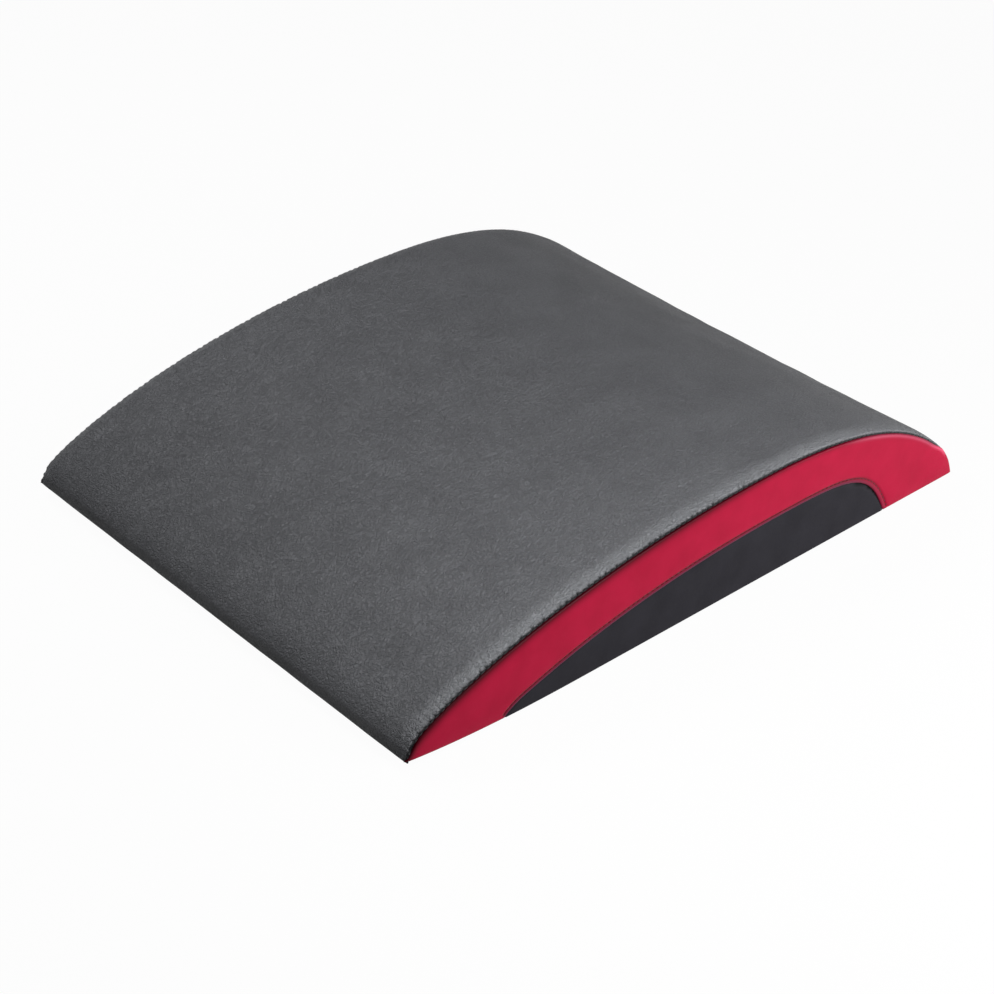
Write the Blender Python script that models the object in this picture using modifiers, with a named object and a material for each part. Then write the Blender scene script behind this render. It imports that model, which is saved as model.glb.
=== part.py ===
"""Ab mat: a curved foam wedge in a sewn cover that closes with a zip across its thick end.

Metres, +Z up. X runs across the mat, -Y is the thin end and +Y the thick end. The origin is
on the floor under the middle of the mat. The side outlines are drawn in (y, z).
"""

from math import asin, cos, pi, radians, sin

import bmesh
import bpy
from mathutils import Vector
from mathutils.geometry import interpolate_bezier

# Overall form, as the seam along the edge of each side panel
mat_length = 0.400
mat_width = 0.300
crest_height = 0.0645
crest_to_thick_end = 0.157
wall_slope = radians(60)
dome_end_slope = radians(43)
dome_handle_shares = (0.458, 0.318)
shoulder_height = 0.0200
shoulder_set_in = 0.0124
shoulder_slope = radians(30.8)
spine_handle_shares = (0.147, 0.509)
tip_height = 0.0070
tip_set_in = 0.0010
nose_slope = radians(60)
nose_handle_share = 0.46
upsweep_length = 0.1210
upsweep_power = 2.6

# Sheet material and the room left between sewn pieces
cover_thickness = 0.0012
side_thickness = 0.0012
inset_thickness = 0.0012
base_thickness = 0.0012
seam_gap = 0.0003
thread_radius = 0.0004
side_edge_radius = 0.0004

# Crown of the padded top
crown_rise = 0.0022
roll_width = 0.0110
roll_power = 3
nose_fade_length = 0.0100
hem_fade_length = 0.0300

# Window in each side panel and the inset sewn behind it
window_front_set_in = 0.0600
window_rear_set_in = 0.0585
window_crest_height = 0.0369
window_crest_to_thick_end = 0.1370
window_knee_run = 0.0128
window_knee_height = 0.0100
window_knee_slope = radians(18)
window_front_handle = 0.0030
window_knee_handle = 0.0040
window_spine_handle_shares = (0.156, 0.542)
window_rear_slope = radians(64)
window_rear_handle_shares = (0.609, 0.401)
inset_allowance = 0.0080

# Foam block
foam_tip_thickness = 0.0040
foam_side_draw = 0.0020
foam_back_clearance = 0.0010

# Zip: tape, beaded edge and teeth
zip_tape_foot = 0.0045
zip_tape_width = 0.0054
zip_tape_thickness = 0.0006
zip_tape_to_dome = 0.0024
zip_bead_width = 0.0012
zip_chain_thickness = 0.0022
zip_tooth_reach = 0.0025
zip_tooth_width = 0.0012
zip_tooth_pitch = 0.0030
zip_end_margin = 0.0200
zip_stitch_set_back = 0.0020

# Zip slider, its stops and its pull
slider_length = 0.0110
slider_wall = 0.0008
slider_plate = 0.0010
slider_clearance = 0.0003
slider_side_clearance = 0.0004
slider_neck_length = 0.0015
slider_neck_set_in = 0.0003
slider_end_play = 0.0005
bridge_length = 0.0064
bridge_width = 0.0014
bridge_wall = 0.0008
stop_length = 0.0020
stop_wall = 0.0006
pull_length = 0.0200
pull_thickness = 0.0010
pull_arm_width = 0.0012
pull_grip_width = 0.0066
pull_bar = 0.0010
pull_clearance = 0.0004
pull_edge_radius = 0.0003

# How finely the curved outlines are divided
nose_steps = 6
spine_steps = 20
dome_steps = 17
wall_steps = 3
upsweep_steps = 14
window_corner_steps = 4
window_spine_steps = 12
window_dome_steps = 9
roll_steps = 4
foam_rows = 30

# Lengths that follow from the ones above
half_length = mat_length / 2
half_width = mat_width / 2
side_inner_x = half_width - side_thickness
cover_edge_x = side_inner_x - seam_gap
inset_inner_x = cover_edge_x - inset_thickness
zip_half_length = inset_inner_x - seam_gap
foam_half_width = inset_inner_x - seam_gap
tip = Vector((-half_length + tip_set_in, tip_height))
foot = Vector((half_length, 0))
bead_inner = (zip_tooth_reach + slider_clearance) / 2
bead_outer = bead_inner + zip_bead_width
slider_half_width = bead_outer + slider_clearance + slider_wall
slot_half = slider_half_width + slider_side_clearance
zip_line = zip_tape_foot + zip_tape_width + bead_outer
lip_height = zip_line - slot_half
hem_height = zip_line + slot_half
wall_length = zip_line + bead_outer + zip_tape_width + zip_tape_to_dome
chain_depth = cover_thickness + seam_gap + zip_tape_thickness / 2
chain_half = half_width - zip_end_margin
up_wall = Vector((-cos(wall_slope), sin(wall_slope)))
out_of_wall = Vector((sin(wall_slope), cos(wall_slope)))
channel_half = zip_chain_thickness / 2 + slider_clearance
slot_for_tape = zip_tape_thickness / 2 + slider_clearance


# Scene, collections and materials


def clear_scene():
    for old in list(bpy.data.objects):
        bpy.data.objects.remove(old, do_unlink=True)


def new_collection(name):
    collection = bpy.data.collections.new(name)
    bpy.context.scene.collection.children.link(collection)
    return collection


def new_material(name, colour, roughness, metallic=0.0):
    material = bpy.data.materials.new(name)
    material.use_nodes = True
    shader = material.node_tree.nodes["Principled BSDF"]
    shader.inputs["Base Color"].default_value = (*colour, 1.0)
    shader.inputs["Roughness"].default_value = roughness
    shader.inputs["Metallic"].default_value = metallic
    material.diffuse_color = (*colour, 1.0)
    return material


def add_object(name, data, material=None, collection=None, parent=None):
    """One named object; it goes with the mat's parts unless another collection is given."""
    made = bpy.data.objects.new(name, data)
    (collection or parts).objects.link(made)
    if material:
        made.data.materials.append(material)
    made.parent = parent
    return made


# Lines in the plane of the side outline


def direction(slope):
    return Vector((cos(slope), sin(slope)))


def bezier(start, start_handle, end_handle, end, steps):
    return interpolate_bezier(start, start_handle, end_handle, end, steps + 1)


def left_normals(points):
    """The mitred normal on the left of each point of an open line."""
    sides = []
    for here, there in zip(points, points[1:]):
        run = (there - here).normalized()
        sides.append(Vector((-run.y, run.x)))
    before = [sides[0], *sides]
    after = [*sides, sides[-1]]
    mitres = []
    for first, second in zip(before, after):
        middle = (first + second).normalized()
        mitres.append(middle / middle.dot(first))
    return mitres


def beside(points, distance):
    """The line that keeps a distance to the left of another."""
    return [p + n * distance for p, n in zip(points, left_normals(points))]


def travelled(points):
    """The distance covered along a line at each of its points."""
    covered = [0.0]
    for here, there in zip(points, points[1:]):
        covered.append(covered[-1] + (there - here).length)
    return covered


def height_on(points, y):
    """The height of a line at y, for a line whose y always grows."""
    for here, there in zip(points, points[1:]):
        if y <= there.x:
            break
    share = (y - here.x) / (there.x - here.x)
    return here.y + (there.y - here.y) * share


def wall_point(up, out=0.0):
    """A point at a height up the rear wall's slope and a distance out from its face."""
    return foot + up_wall * up + out_of_wall * out


def floor_height(y):
    """The underside of the mat: flat, then sweeping up towards the thin end."""
    lift_start = tip.x + upsweep_length
    share = max(0.0, (lift_start - y) / upsweep_length)
    return tip_height * share**upsweep_power


def seam_line():
    """The seam round the top, from the thin end's tip to the top hem above the zip."""
    shoulder = Vector((-half_length + shoulder_set_in, shoulder_height))
    crest = Vector((half_length - crest_to_thick_end, crest_height))
    wall_top = wall_point(wall_length)
    nose_handle = (shoulder - tip).length * nose_handle_share
    rise = direction(shoulder_slope)
    nose = bezier(
        tip,
        tip + direction(nose_slope) * nose_handle,
        shoulder - rise * nose_handle,
        shoulder,
        nose_steps,
    )
    spine_run = crest.x - shoulder.x
    low_share, high_share = spine_handle_shares
    spine = bezier(
        shoulder,
        shoulder + rise * spine_run * low_share,
        crest - Vector((spine_run * high_share, 0)),
        crest,
        spine_steps,
    )
    dome_run = wall_top.x - crest.x
    high_share, low_share = dome_handle_shares
    dome = bezier(
        crest,
        crest + Vector((dome_run * high_share, 0)),
        wall_top + direction(pi - dome_end_slope) * dome_run * low_share,
        wall_top,
        dome_steps,
    )
    hem = wall_point(hem_height)
    wall = [wall_top.lerp(hem, (step + 1) / wall_steps) for step in range(wall_steps)]
    return nose + spine[1:] + dome[1:] + wall


def underside(start, end, lift=0.0):
    """The underside's line from start to end, raised by lift, both ends included."""
    lift_start = tip.x + upsweep_length
    stations = [start]
    for step in range(1, upsweep_steps):
        y = tip.x + upsweep_length * step / upsweep_steps
        if start < y < min(end, lift_start):
            stations.append(y)
    if start < lift_start < end:
        stations.append(lift_start)
    stations.append(end)
    return [Vector((y, floor_height(y) + lift)) for y in stations]


def window_line(grow=0.0, lift=0.0):
    """The window's arch from its front foot to its rear foot, grown outwards by grow."""
    front_y = -half_length + window_front_set_in - grow
    rear_y = half_length - window_rear_set_in + grow
    front = Vector((front_y, floor_height(front_y) + lift))
    rear = Vector((rear_y, lift))
    rise = direction(window_knee_slope)
    knee = Vector((-half_length + window_front_set_in + window_knee_run, window_knee_height))
    knee += Vector((-rise.y, rise.x)) * grow
    crest = Vector((half_length - window_crest_to_thick_end, window_crest_height + grow))
    corner = bezier(
        front,
        front + Vector((0, window_front_handle)),
        knee - rise * window_knee_handle,
        knee,
        window_corner_steps,
    )
    spine_run = crest.x - knee.x
    low_share, high_share = window_spine_handle_shares
    spine = bezier(
        knee,
        knee + rise * spine_run * low_share,
        crest - Vector((spine_run * high_share, 0)),
        crest,
        window_spine_steps,
    )
    rear_run = rear.x - crest.x
    high_share, low_share = window_rear_handle_shares
    dome = bezier(
        crest,
        crest + Vector((rear_run * high_share, 0)),
        rear + direction(pi - window_rear_slope) * rear_run * low_share,
        rear,
        window_dome_steps,
    )
    return corner + spine[1:] + dome[1:]


# Solids from outlines and lines


def outline_mesh(name, points, half_thickness):
    """A filled flat outline of a given half thickness, as one closed mesh."""
    curve = bpy.data.curves.new(name, "CURVE")
    curve.dimensions = "2D"
    curve.fill_mode = "BOTH"
    curve.extrude = half_thickness
    curve.render_resolution_u = 0
    spline = curve.splines.new("POLY")
    spline.points.add(len(points) - 1)
    for place, point in zip(spline.points, points):
        place.co = (point[0], point[1], 0, 1)
    spline.use_cyclic_u = True
    drawn = add_object(name, curve)
    bpy.context.view_layer.update()
    evaluated = drawn.evaluated_get(bpy.context.evaluated_depsgraph_get())
    mesh = bpy.data.meshes.new_from_object(evaluated)
    bpy.data.objects.remove(drawn)
    bpy.data.curves.remove(curve)
    shape = bmesh.new()
    shape.from_mesh(mesh)
    bmesh.ops.remove_doubles(shape, verts=shape.verts, dist=1e-6)
    bmesh.ops.dissolve_limit(
        shape, angle_limit=radians(0.1), verts=shape.verts, edges=shape.edges
    )
    bmesh.ops.recalc_face_normals(shape, faces=shape.faces)
    shape.to_mesh(mesh)
    shape.free()
    mesh.name = name
    return mesh


def side_plate(name, points, outer_x, thickness, side, material):
    """An upright plate drawn in (y, z), its outer face at outer_x on one side of the mat."""
    plate = add_object(name, outline_mesh(name, points, thickness / 2), material)
    plate.rotation_euler = (pi / 2, 0, pi / 2)
    plate.location.x = side * (outer_x - thickness / 2)
    return plate


def soften(target, radius, segments=2):
    bevel = target.modifiers.new("soft_edges", "BEVEL")
    bevel.width = radius
    bevel.segments = segments
    bevel.limit_method = "ANGLE"
    bevel.angle_limit = radians(40)
    return bevel


def thread(name, points, radius=thread_radius):
    """A sewing thread along a line of points in space."""
    curve = bpy.data.curves.new(name, "CURVE")
    curve.dimensions = "3D"
    curve.bevel_depth = radius
    curve.bevel_resolution = 1
    curve.use_fill_caps = True
    curve.render_resolution_u = 0
    spline = curve.splines.new("POLY")
    spline.points.add(len(points) - 1)
    for place, point in zip(spline.points, points):
        place.co = (*point, 1)
    return add_object(name, curve, thread_material)


def block(name, low, high, material=None, collection=None, parent=None):
    """A box between two corners."""
    middle = (Vector(low) + Vector(high)) / 2
    shape = bmesh.new()
    bmesh.ops.create_cube(shape, size=1)
    bmesh.ops.scale(shape, vec=Vector(high) - Vector(low), verts=shape.verts)
    bmesh.ops.translate(shape, vec=middle, verts=shape.verts)
    mesh = bpy.data.meshes.new(name)
    shape.to_mesh(mesh)
    shape.free()
    return add_object(name, mesh, material, collection, parent)


def join_on(target, piece):
    """Unite a helper solid with a part and put the helper among the cutters."""
    piece.hide_render = True
    piece.display_type = "WIRE"
    union = target.modifiers.new(piece.name, "BOOLEAN")
    union.operation = "UNION"
    union.solver = "EXACT"
    union.object = piece


# Cover, foam and side pieces


def crown_at(x):
    """How far the padded top stands above its side seam at a distance from the middle."""
    past_ridge = max(0.0, abs(x) - (cover_edge_x - roll_width)) / roll_width
    return crown_rise * max(0.0, 1 - past_ridge**roll_power)


def eased(share):
    share = min(1.0, max(0.0, share))
    return share * share * (3 - 2 * share)


def crown_shares(points):
    """The share of the full crown at each point of the seam: none at the two hems."""
    covered = travelled(points)
    total = covered[-1]
    return [
        eased(run / nose_fade_length) * eased((total - run) / hem_fade_length)
        for run in covered
    ]


def cover_columns():
    """Places across the cover, close together where the edge rolls over."""
    ridge = cover_edge_x - roll_width
    half = [ridge / 2, ridge]
    for step in range(roll_steps):
        half.append(ridge + roll_width * sin(pi / 2 * (step + 1) / roll_steps))
    return [-x for x in reversed(half)] + [0.0] + half


def make_top_cover():
    line = seam_line()
    normals = left_normals(line)
    shares = crown_shares(line)
    columns = cover_columns()
    shape = bmesh.new()
    bmesh.ops.create_grid(
        shape, x_segments=len(columns) - 1, y_segments=len(line) - 1, size=0.5
    )
    for vertex in shape.verts:
        column = round((vertex.co.x + 0.5) * (len(columns) - 1))
        row = round((vertex.co.y + 0.5) * (len(line) - 1))
        x = columns[column]
        place = line[row] + normals[row] * crown_at(x) * shares[row]
        vertex.co = (x, place.x, place.y)
    mesh = bpy.data.meshes.new("top_cover")
    shape.to_mesh(mesh)
    shape.free()
    cover = add_object("top_cover", mesh, leather)
    wall = cover.modifiers.new("sheet", "SOLIDIFY")
    wall.thickness = cover_thickness
    wall.offset = -1
    wall.use_even_offset = True
    cover.data.shade_smooth()
    return cover


def foam_ends(top):
    """Where the foam starts, once it is thick enough, and where it stops before the zip."""
    bottom_lift = base_thickness + seam_gap
    start = top[0].x
    for here in top:
        start = here.x
        if here.y - floor_height(start) - bottom_lift > foam_tip_thickness:
            break
    slider_back = -chain_depth - channel_half - slider_plate
    slider_corner = wall_point(zip_line + slider_half_width, slider_back)
    return start, slider_corner.x - foam_back_clearance


def make_foam():
    """The foam fills the cover: a crowned top, upright sides drawn in a little at the base."""
    inset = cover_thickness + seam_gap
    seam = seam_line()
    top = beside(seam, -inset)
    shares = crown_shares(seam)
    share_line = [Vector((p.x, s)) for p, s in zip(top, shares)]
    start, end = foam_ends(top)
    columns = [x * foam_half_width / cover_edge_x for x in cover_columns()]
    shape = bmesh.new()
    bmesh.ops.create_grid(shape, x_segments=len(columns) - 1, y_segments=foam_rows, size=0.5)
    lower = {}
    for vertex in shape.verts:
        column = round((vertex.co.x + 0.5) * (len(columns) - 1))
        x = columns[column]
        along = asin(2 * min(0.5, max(-0.5, vertex.co.y))) / pi + 0.5
        y = start + (end - start) * along
        crown = crown_at(abs(x) + inset) * height_on(share_line, y)
        vertex.co = (x, y, height_on(top, y) + crown)
    upper_faces = list(shape.faces)
    grown = bmesh.ops.extrude_face_region(shape, geom=upper_faces, use_keep_orig=True)
    base = [item for item in grown["geom"] if isinstance(item, bmesh.types.BMVert)]
    for vertex in base:
        drawn = 1 - foam_side_draw / foam_half_width
        vertex.co.x *= drawn
        vertex.co.z = floor_height(vertex.co.y) + base_thickness + seam_gap
    bmesh.ops.recalc_face_normals(shape, faces=shape.faces)
    mesh = bpy.data.meshes.new("foam_core")
    shape.to_mesh(mesh)
    shape.free()
    core = add_object("foam_core", mesh, foam)
    core.data.shade_smooth()
    return core


def make_side(side, word):
    """One side: the coloured panel with its window, the inset behind it and their threads."""
    top = seam_line()
    window = window_line()
    outline = top + [foot] + list(reversed(window))
    outline += list(reversed(underside(tip.x, window[0].x)))[1:-1]
    panel = side_plate(
        f"side_panel_{word}", outline, half_width, side_thickness, side, red_leather
    )
    soften(panel, side_edge_radius)

    bottom_lift = base_thickness + seam_gap
    arch = window_line(inset_allowance, bottom_lift)
    bottom = underside(arch[0].x, arch[-1].x, bottom_lift)
    side_plate(
        f"side_inset_{word}",
        arch + list(reversed(bottom))[1:-1],
        cover_edge_x,
        inset_thickness,
        side,
        inset_leather,
    )

    clear = seam_gap + thread_radius
    panel_middle_x = side * (half_width - side_thickness / 2)
    over = beside(top, clear)
    thread(f"top_seam_thread_{word}", [(panel_middle_x, p.x, p.y) for p in over])
    inset_x = side * (cover_edge_x + clear)
    within = [p for p in beside(window, -clear) if p.y > floor_height(p.x) + clear]
    thread(f"inset_seam_thread_{word}", [(inset_x, p.x, p.y) for p in within])
    hidden_x = side * (inset_inner_x - clear)
    start, end = foam_ends(beside(top, -bottom_lift))
    inside = underside(start, end, base_thickness + clear)
    thread(f"base_seam_thread_{word}", [(hidden_x, p.x, p.y) for p in inside])


def make_base():
    """The base sheet: under the whole mat and turned up the rear wall as a lip."""
    set_back = cover_thickness + seam_gap + 2 * thread_radius
    outer = underside(tip.x + set_back, foot.x) + [wall_point(lip_height)]
    inner = beside(outer, base_thickness)
    outline = outer + list(reversed(inner))
    panel = add_object("base_panel", outline_mesh("base_panel", outline, cover_edge_x))
    panel.data.materials.append(base_fabric)
    panel.rotation_euler = (pi / 2, 0, pi / 2)

    clear = seam_gap + thread_radius
    seam_y = tip.x + set_back - thread_radius
    height = floor_height(seam_y) - clear
    ends = [(x, seam_y, height) for x in (-zip_half_length, zip_half_length)]
    thread("front_seam_thread", ends)


# Zip, in a frame on the rear wall: x to the right seen from behind, y up the wall, z out


def make_tape(side, word):
    """One half of the zip: woven tape with a beaded edge that carries every other tooth."""
    count = int(2 * chain_half / zip_tooth_pitch) - 1
    first = -chain_half + zip_tooth_pitch * (1 / 2 + side / 4)
    stations = [-zip_half_length]
    for index in range(count):
        tooth_x = first + zip_tooth_pitch * index
        stations += [tooth_x - zip_tooth_width / 2, tooth_x + zip_tooth_width / 2]
    stations.append(zip_half_length)
    bead_z = zip_chain_thickness / 2
    tape_z = zip_tape_thickness / 2
    tape_edge = bead_outer + zip_tape_width
    upper = [(tape_edge, tape_z), (bead_outer, tape_z), (bead_outer, bead_z), (bead_inner, bead_z)]
    section = upper + [(y, -z) for y, z in reversed(upper)]

    shape = bmesh.new()
    bmesh.ops.create_grid(
        shape, x_segments=len(stations) - 1, y_segments=len(section), size=0.5
    )
    for vertex in shape.verts:
        station = round((vertex.co.x + 0.5) * (len(stations) - 1))
        turn = round((vertex.co.y + 0.5) * len(section))
        y, z = section[turn % len(section)]
        vertex.co = (stations[station], side * y, z)
    bmesh.ops.remove_doubles(shape, verts=shape.verts, dist=1e-6)
    bmesh.ops.holes_fill(shape, edges=[edge for edge in shape.edges if edge.is_boundary])
    roots = []
    for face in shape.faces:
        middle = face.calc_center_median()
        tooth = round((middle.x - first) / zip_tooth_pitch)
        on_tooth = abs(middle.x - first - zip_tooth_pitch * tooth) < zip_tooth_width / 2
        on_edge = all(abs(side * v.co.y - bead_inner) < seam_gap for v in face.verts)
        if on_edge and on_tooth and 0 <= tooth < count:
            roots.append(face)
    teeth = bmesh.ops.extrude_discrete_faces(shape, faces=roots)["faces"]
    for tooth in teeth:
        reach = Vector((0, -side * zip_tooth_reach, 0))
        bmesh.ops.translate(shape, vec=reach, verts=tooth.verts)
    bmesh.ops.recalc_face_normals(shape, faces=shape.faces)
    mesh = bpy.data.meshes.new(f"zip_tape_{word}")
    shape.to_mesh(mesh)
    shape.free()
    tape = add_object(f"zip_tape_{word}", mesh, zip_material, parent=zip_frame)
    tape.location.z = -chain_depth

    stitch_y = side * (slot_half + zip_stitch_set_back)
    seam = thread(
        f"zip_seam_thread_{word}",
        [(x, stitch_y, seam_gap + thread_radius) for x in (-zip_half_length, zip_half_length)],
    )
    seam.parent = zip_frame


def run_along_x(name, section, length, material=None, collection=None, parent=None):
    """A section drawn in (y, z) and extruded by length along x, about its own origin."""
    mesh = outline_mesh(name, section, length / 2)
    bar = add_object(name, mesh, material, collection, parent)
    bar.rotation_euler = (pi / 2, 0, pi / 2)
    return bar


def make_stops():
    """A clip on each beaded edge past the closed end, and one across both at the other."""
    inner = bead_inner - slider_clearance
    low = channel_half
    high = channel_half + stop_wall
    closed_end = -(chain_half + slider_neck_length + slider_clearance + slider_neck_set_in)
    for side, word in ((1, "upper"), (-1, "lower")):
        section = [
            (side * bead_outer, high),
            (side * (inner - stop_wall), high),
            (side * (inner - stop_wall), -high),
            (side * bead_outer, -high),
            (side * bead_outer, -low),
            (side * inner, -low),
            (side * inner, low),
            (side * bead_outer, low),
        ]
        clip = run_along_x(
            f"zip_top_stop_{word}", section, stop_length, zip_metal, parent=zip_frame
        )
        clip.location = (closed_end - slider_end_play - stop_length / 2, 0, -chain_depth)

    half = [(inner, low), (bead_outer, low), (bead_outer, high)]
    upper = half + [(-y, z) for y, z in reversed(half)]
    section = upper + [(-y, -z) for y, z in upper]
    last = run_along_x(
        "zip_bottom_stop", section, stop_length, zip_metal, parent=zip_frame
    )
    last.location = (chain_half + slider_end_play + stop_length / 2, 0, -chain_depth)


def channel_section(facing):
    """One wing of the slider: a plate with an edge turned in on each side."""
    outer = slider_half_width
    inner = slider_half_width - slider_wall
    near = channel_half
    far = channel_half + slider_plate
    turned = [(-outer, slot_for_tape), (-outer, far), (outer, far), (outer, slot_for_tape)]
    hollow = [(inner, slot_for_tape), (inner, near), (-inner, near), (-inner, slot_for_tape)]
    return [(y, facing * z) for y, z in turned + hollow]


def make_slider():
    """The slider rests at the closed end, its two wings joined by the neck at its head."""
    front_top = channel_half + slider_plate
    past_teeth = slider_clearance + slider_neck_length + slider_neck_set_in
    rest_x = -chain_half - past_teeth + slider_length / 2
    body = run_along_x(
        "zip_slider", channel_section(1), slider_length, zip_metal, parent=zip_frame
    )
    body.location = (rest_x, 0, -chain_depth)
    back = run_along_x(
        "slider_back_wing", channel_section(-1), slider_length, None, cutters, zip_frame
    )
    back.location = body.location
    neck_half = bead_inner - slider_clearance
    neck_start = -slider_length / 2 + slider_neck_set_in
    overlap = slider_plate / 2
    neck = block(
        "slider_neck",
        (neck_start, -neck_half, -channel_half - overlap),
        (neck_start + slider_neck_length, neck_half, channel_half + overlap),
        collection=cutters,
        parent=zip_frame,
    )
    neck.location = body.location

    tunnel_top = front_top + pull_bar + 2 * pull_clearance
    arch = [
        (-bridge_length / 2, front_top - overlap),
        (-bridge_length / 2, tunnel_top - bridge_wall),
        (-bridge_length / 2 + bridge_wall, tunnel_top + bridge_wall),
        (bridge_length / 2 - bridge_wall, tunnel_top + bridge_wall),
        (bridge_length / 2, tunnel_top - bridge_wall),
        (bridge_length / 2, front_top - overlap),
        (bridge_length / 2 - bridge_wall, front_top - overlap),
        (bridge_length / 2 - bridge_wall, tunnel_top - bridge_wall / 2),
        (bridge_length / 2 - 2 * bridge_wall, tunnel_top),
        (-bridge_length / 2 + 2 * bridge_wall, tunnel_top),
        (-bridge_length / 2 + bridge_wall, tunnel_top - bridge_wall / 2),
        (-bridge_length / 2 + bridge_wall, front_top - overlap),
    ]
    mesh = outline_mesh("slider_bridge", arch, bridge_width / 2)
    bridge = add_object("slider_bridge", mesh, None, cutters, zip_frame)
    bridge.rotation_euler = (pi / 2, 0, 0)
    bridge.location = body.location
    for piece in (neck, back, bridge):
        join_on(body, piece)
    return rest_x, front_top + pull_clearance + pull_bar / 2 - chain_depth


def make_pull(axis_x, axis_z):
    """The pull: its cross bar turns under the slider's bridge, its arms pass beside it."""
    bar_half = pull_bar / 2
    hole_half = bridge_width / 2 + pull_clearance
    neck_half = hole_half + pull_arm_width
    hole_end = bridge_length / 2 + bridge_wall + pull_clearance
    grip_start = hole_end + pull_arm_width
    grip_half = pull_grip_width / 2
    corner = pull_arm_width / 2
    outline = [
        (-bar_half, -neck_half),
        (grip_start, -neck_half),
        (grip_start + grip_half, -grip_half),
        (pull_length - corner, -grip_half),
        (pull_length, -grip_half + corner),
        (pull_length, grip_half - corner),
        (pull_length - corner, grip_half),
        (grip_start + grip_half, grip_half),
        (grip_start, neck_half),
        (-bar_half, neck_half),
    ]
    mesh = outline_mesh("zip_pull", outline, pull_thickness / 2)
    pull = add_object("zip_pull", mesh, zip_metal, parent=zip_frame)
    pull.location = (axis_x, 0, axis_z)
    hole = block(
        "pull_hole",
        (bar_half, -hole_half, -pull_thickness),
        (hole_end, hole_half, pull_thickness),
        collection=cutters,
        parent=zip_frame,
    )
    hole.location = pull.location
    hole.hide_render = True
    hole.display_type = "WIRE"
    cut = pull.modifiers.new("hole", "BOOLEAN")
    cut.operation = "DIFFERENCE"
    cut.solver = "EXACT"
    cut.object = hole
    soften(pull, pull_edge_radius)


clear_scene()
parts = new_collection("ab_mat")
cutters = new_collection("cutters")

leather = new_material("black_leather", (0.105, 0.107, 0.115), 0.48)
red_leather = new_material("red_leather", (0.42, 0.014, 0.050), 0.42)
inset_leather = new_material("inset_leather", (0.024, 0.023, 0.027), 0.45)
base_fabric = new_material("grip_fabric", (0.022, 0.022, 0.024), 0.85)
foam = new_material("foam", (0.10, 0.10, 0.11), 0.95)
thread_material = new_material("thread", (0.030, 0.030, 0.032), 0.70)
zip_material = new_material("zip_tape", (0.018, 0.018, 0.020), 0.75)
zip_metal = new_material("zip_metal", (0.045, 0.045, 0.048), 0.38, 0.6)

zip_place = wall_point(zip_line)
zip_frame = add_object("zip_frame", None)
zip_frame.location = (0, zip_place.x, zip_place.y)
zip_frame.rotation_euler = (wall_slope, 0, pi)

make_foam()
make_top_cover()
make_base()
for side, word in ((1, "right"), (-1, "left")):
    make_side(side, word)
for side, word in ((1, "upper"), (-1, "lower")):
    make_tape(side, word)
make_stops()
make_pull(*make_slider())
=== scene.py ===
# %% [markdown]
# # Ab mat: the finished look
#
# The mat is a curved foam wedge in a sewn cover. Its top is one padded sheet of black pebbled
# leatherette, its sides are smooth red leatherette with a dark inset, and a zip closes the
# thick end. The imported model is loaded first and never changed: it says where each part is.

# %% Load the frame
from math import cos, pi, radians, sin

import bmesh
import bpy
import numpy as np
from mathutils import Matrix, Quaternion, Vector
from mathutils.geometry import interpolate_bezier


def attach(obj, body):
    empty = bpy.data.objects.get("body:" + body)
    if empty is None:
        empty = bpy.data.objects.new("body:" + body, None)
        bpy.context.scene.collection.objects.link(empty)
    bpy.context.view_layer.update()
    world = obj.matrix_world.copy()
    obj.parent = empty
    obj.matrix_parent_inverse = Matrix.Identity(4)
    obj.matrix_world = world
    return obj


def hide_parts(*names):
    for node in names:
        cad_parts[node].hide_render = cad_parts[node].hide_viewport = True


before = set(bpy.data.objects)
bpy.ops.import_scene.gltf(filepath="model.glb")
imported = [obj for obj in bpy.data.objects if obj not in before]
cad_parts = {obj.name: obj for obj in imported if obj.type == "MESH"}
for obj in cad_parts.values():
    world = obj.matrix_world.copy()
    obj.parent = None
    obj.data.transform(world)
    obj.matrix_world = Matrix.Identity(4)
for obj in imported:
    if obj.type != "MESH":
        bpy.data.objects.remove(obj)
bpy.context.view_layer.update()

mm = 0.001

# %% [markdown]
# ## Camera
#
# The picture looks down on the thin right-hand corner from a little over a metre away. The
# camera stands there, aims at the middle of the mat and is rolled a little, as if held by hand.
# An aim point with a roll is easier to read and to change than a rotation matrix.

# %% Camera
camera_place = Vector((0.7383, -0.7139, 0.6727))
camera_aim = Vector((0.0005, -0.0055, -0.0068))
camera_roll = radians(2.49)
camera_lens = 81.57
camera_film = 36

camera_data = bpy.data.cameras.new("camera")
camera_data.lens = camera_lens
camera_data.sensor_width = camera_film
camera = bpy.data.objects.new("camera", camera_data)
bpy.context.scene.collection.objects.link(camera)
camera.rotation_mode = "QUATERNION"
looking = (camera_aim - camera_place).to_track_quat("-Z", "Y")
camera.rotation_quaternion = looking @ Quaternion((0, 0, 1), camera_roll)
camera.location = camera_place
bpy.context.scene.camera = camera
print("camera: distance", round((camera_aim - camera_place).length, 3), "m")

# %% [markdown]
# ## Small helpers
#
# An operator works on whatever is selected, so each step starts by selecting one object and
# nothing else. Faces, edges and corners are picked by a test on their place, which is how a
# script does what a modeller does with the mouse. The helpers below are those single steps.

# %% Selecting and applying
def take(target):
    """Select one object only and make it the active one."""
    bpy.ops.object.select_all(action="DESELECT")
    target.select_set(True)
    bpy.context.view_layer.objects.active = target


def taken():
    return bpy.context.view_layer.objects.active


def open_mesh(target):
    """Go into edit mode on one object, with nothing selected."""
    take(target)
    bpy.ops.object.mode_set(mode="EDIT")
    bpy.ops.mesh.select_all(action="DESELECT")


def close_mesh():
    bpy.ops.object.mode_set(mode="OBJECT")


def pick_all():
    bpy.ops.mesh.select_all(action="SELECT")


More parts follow.
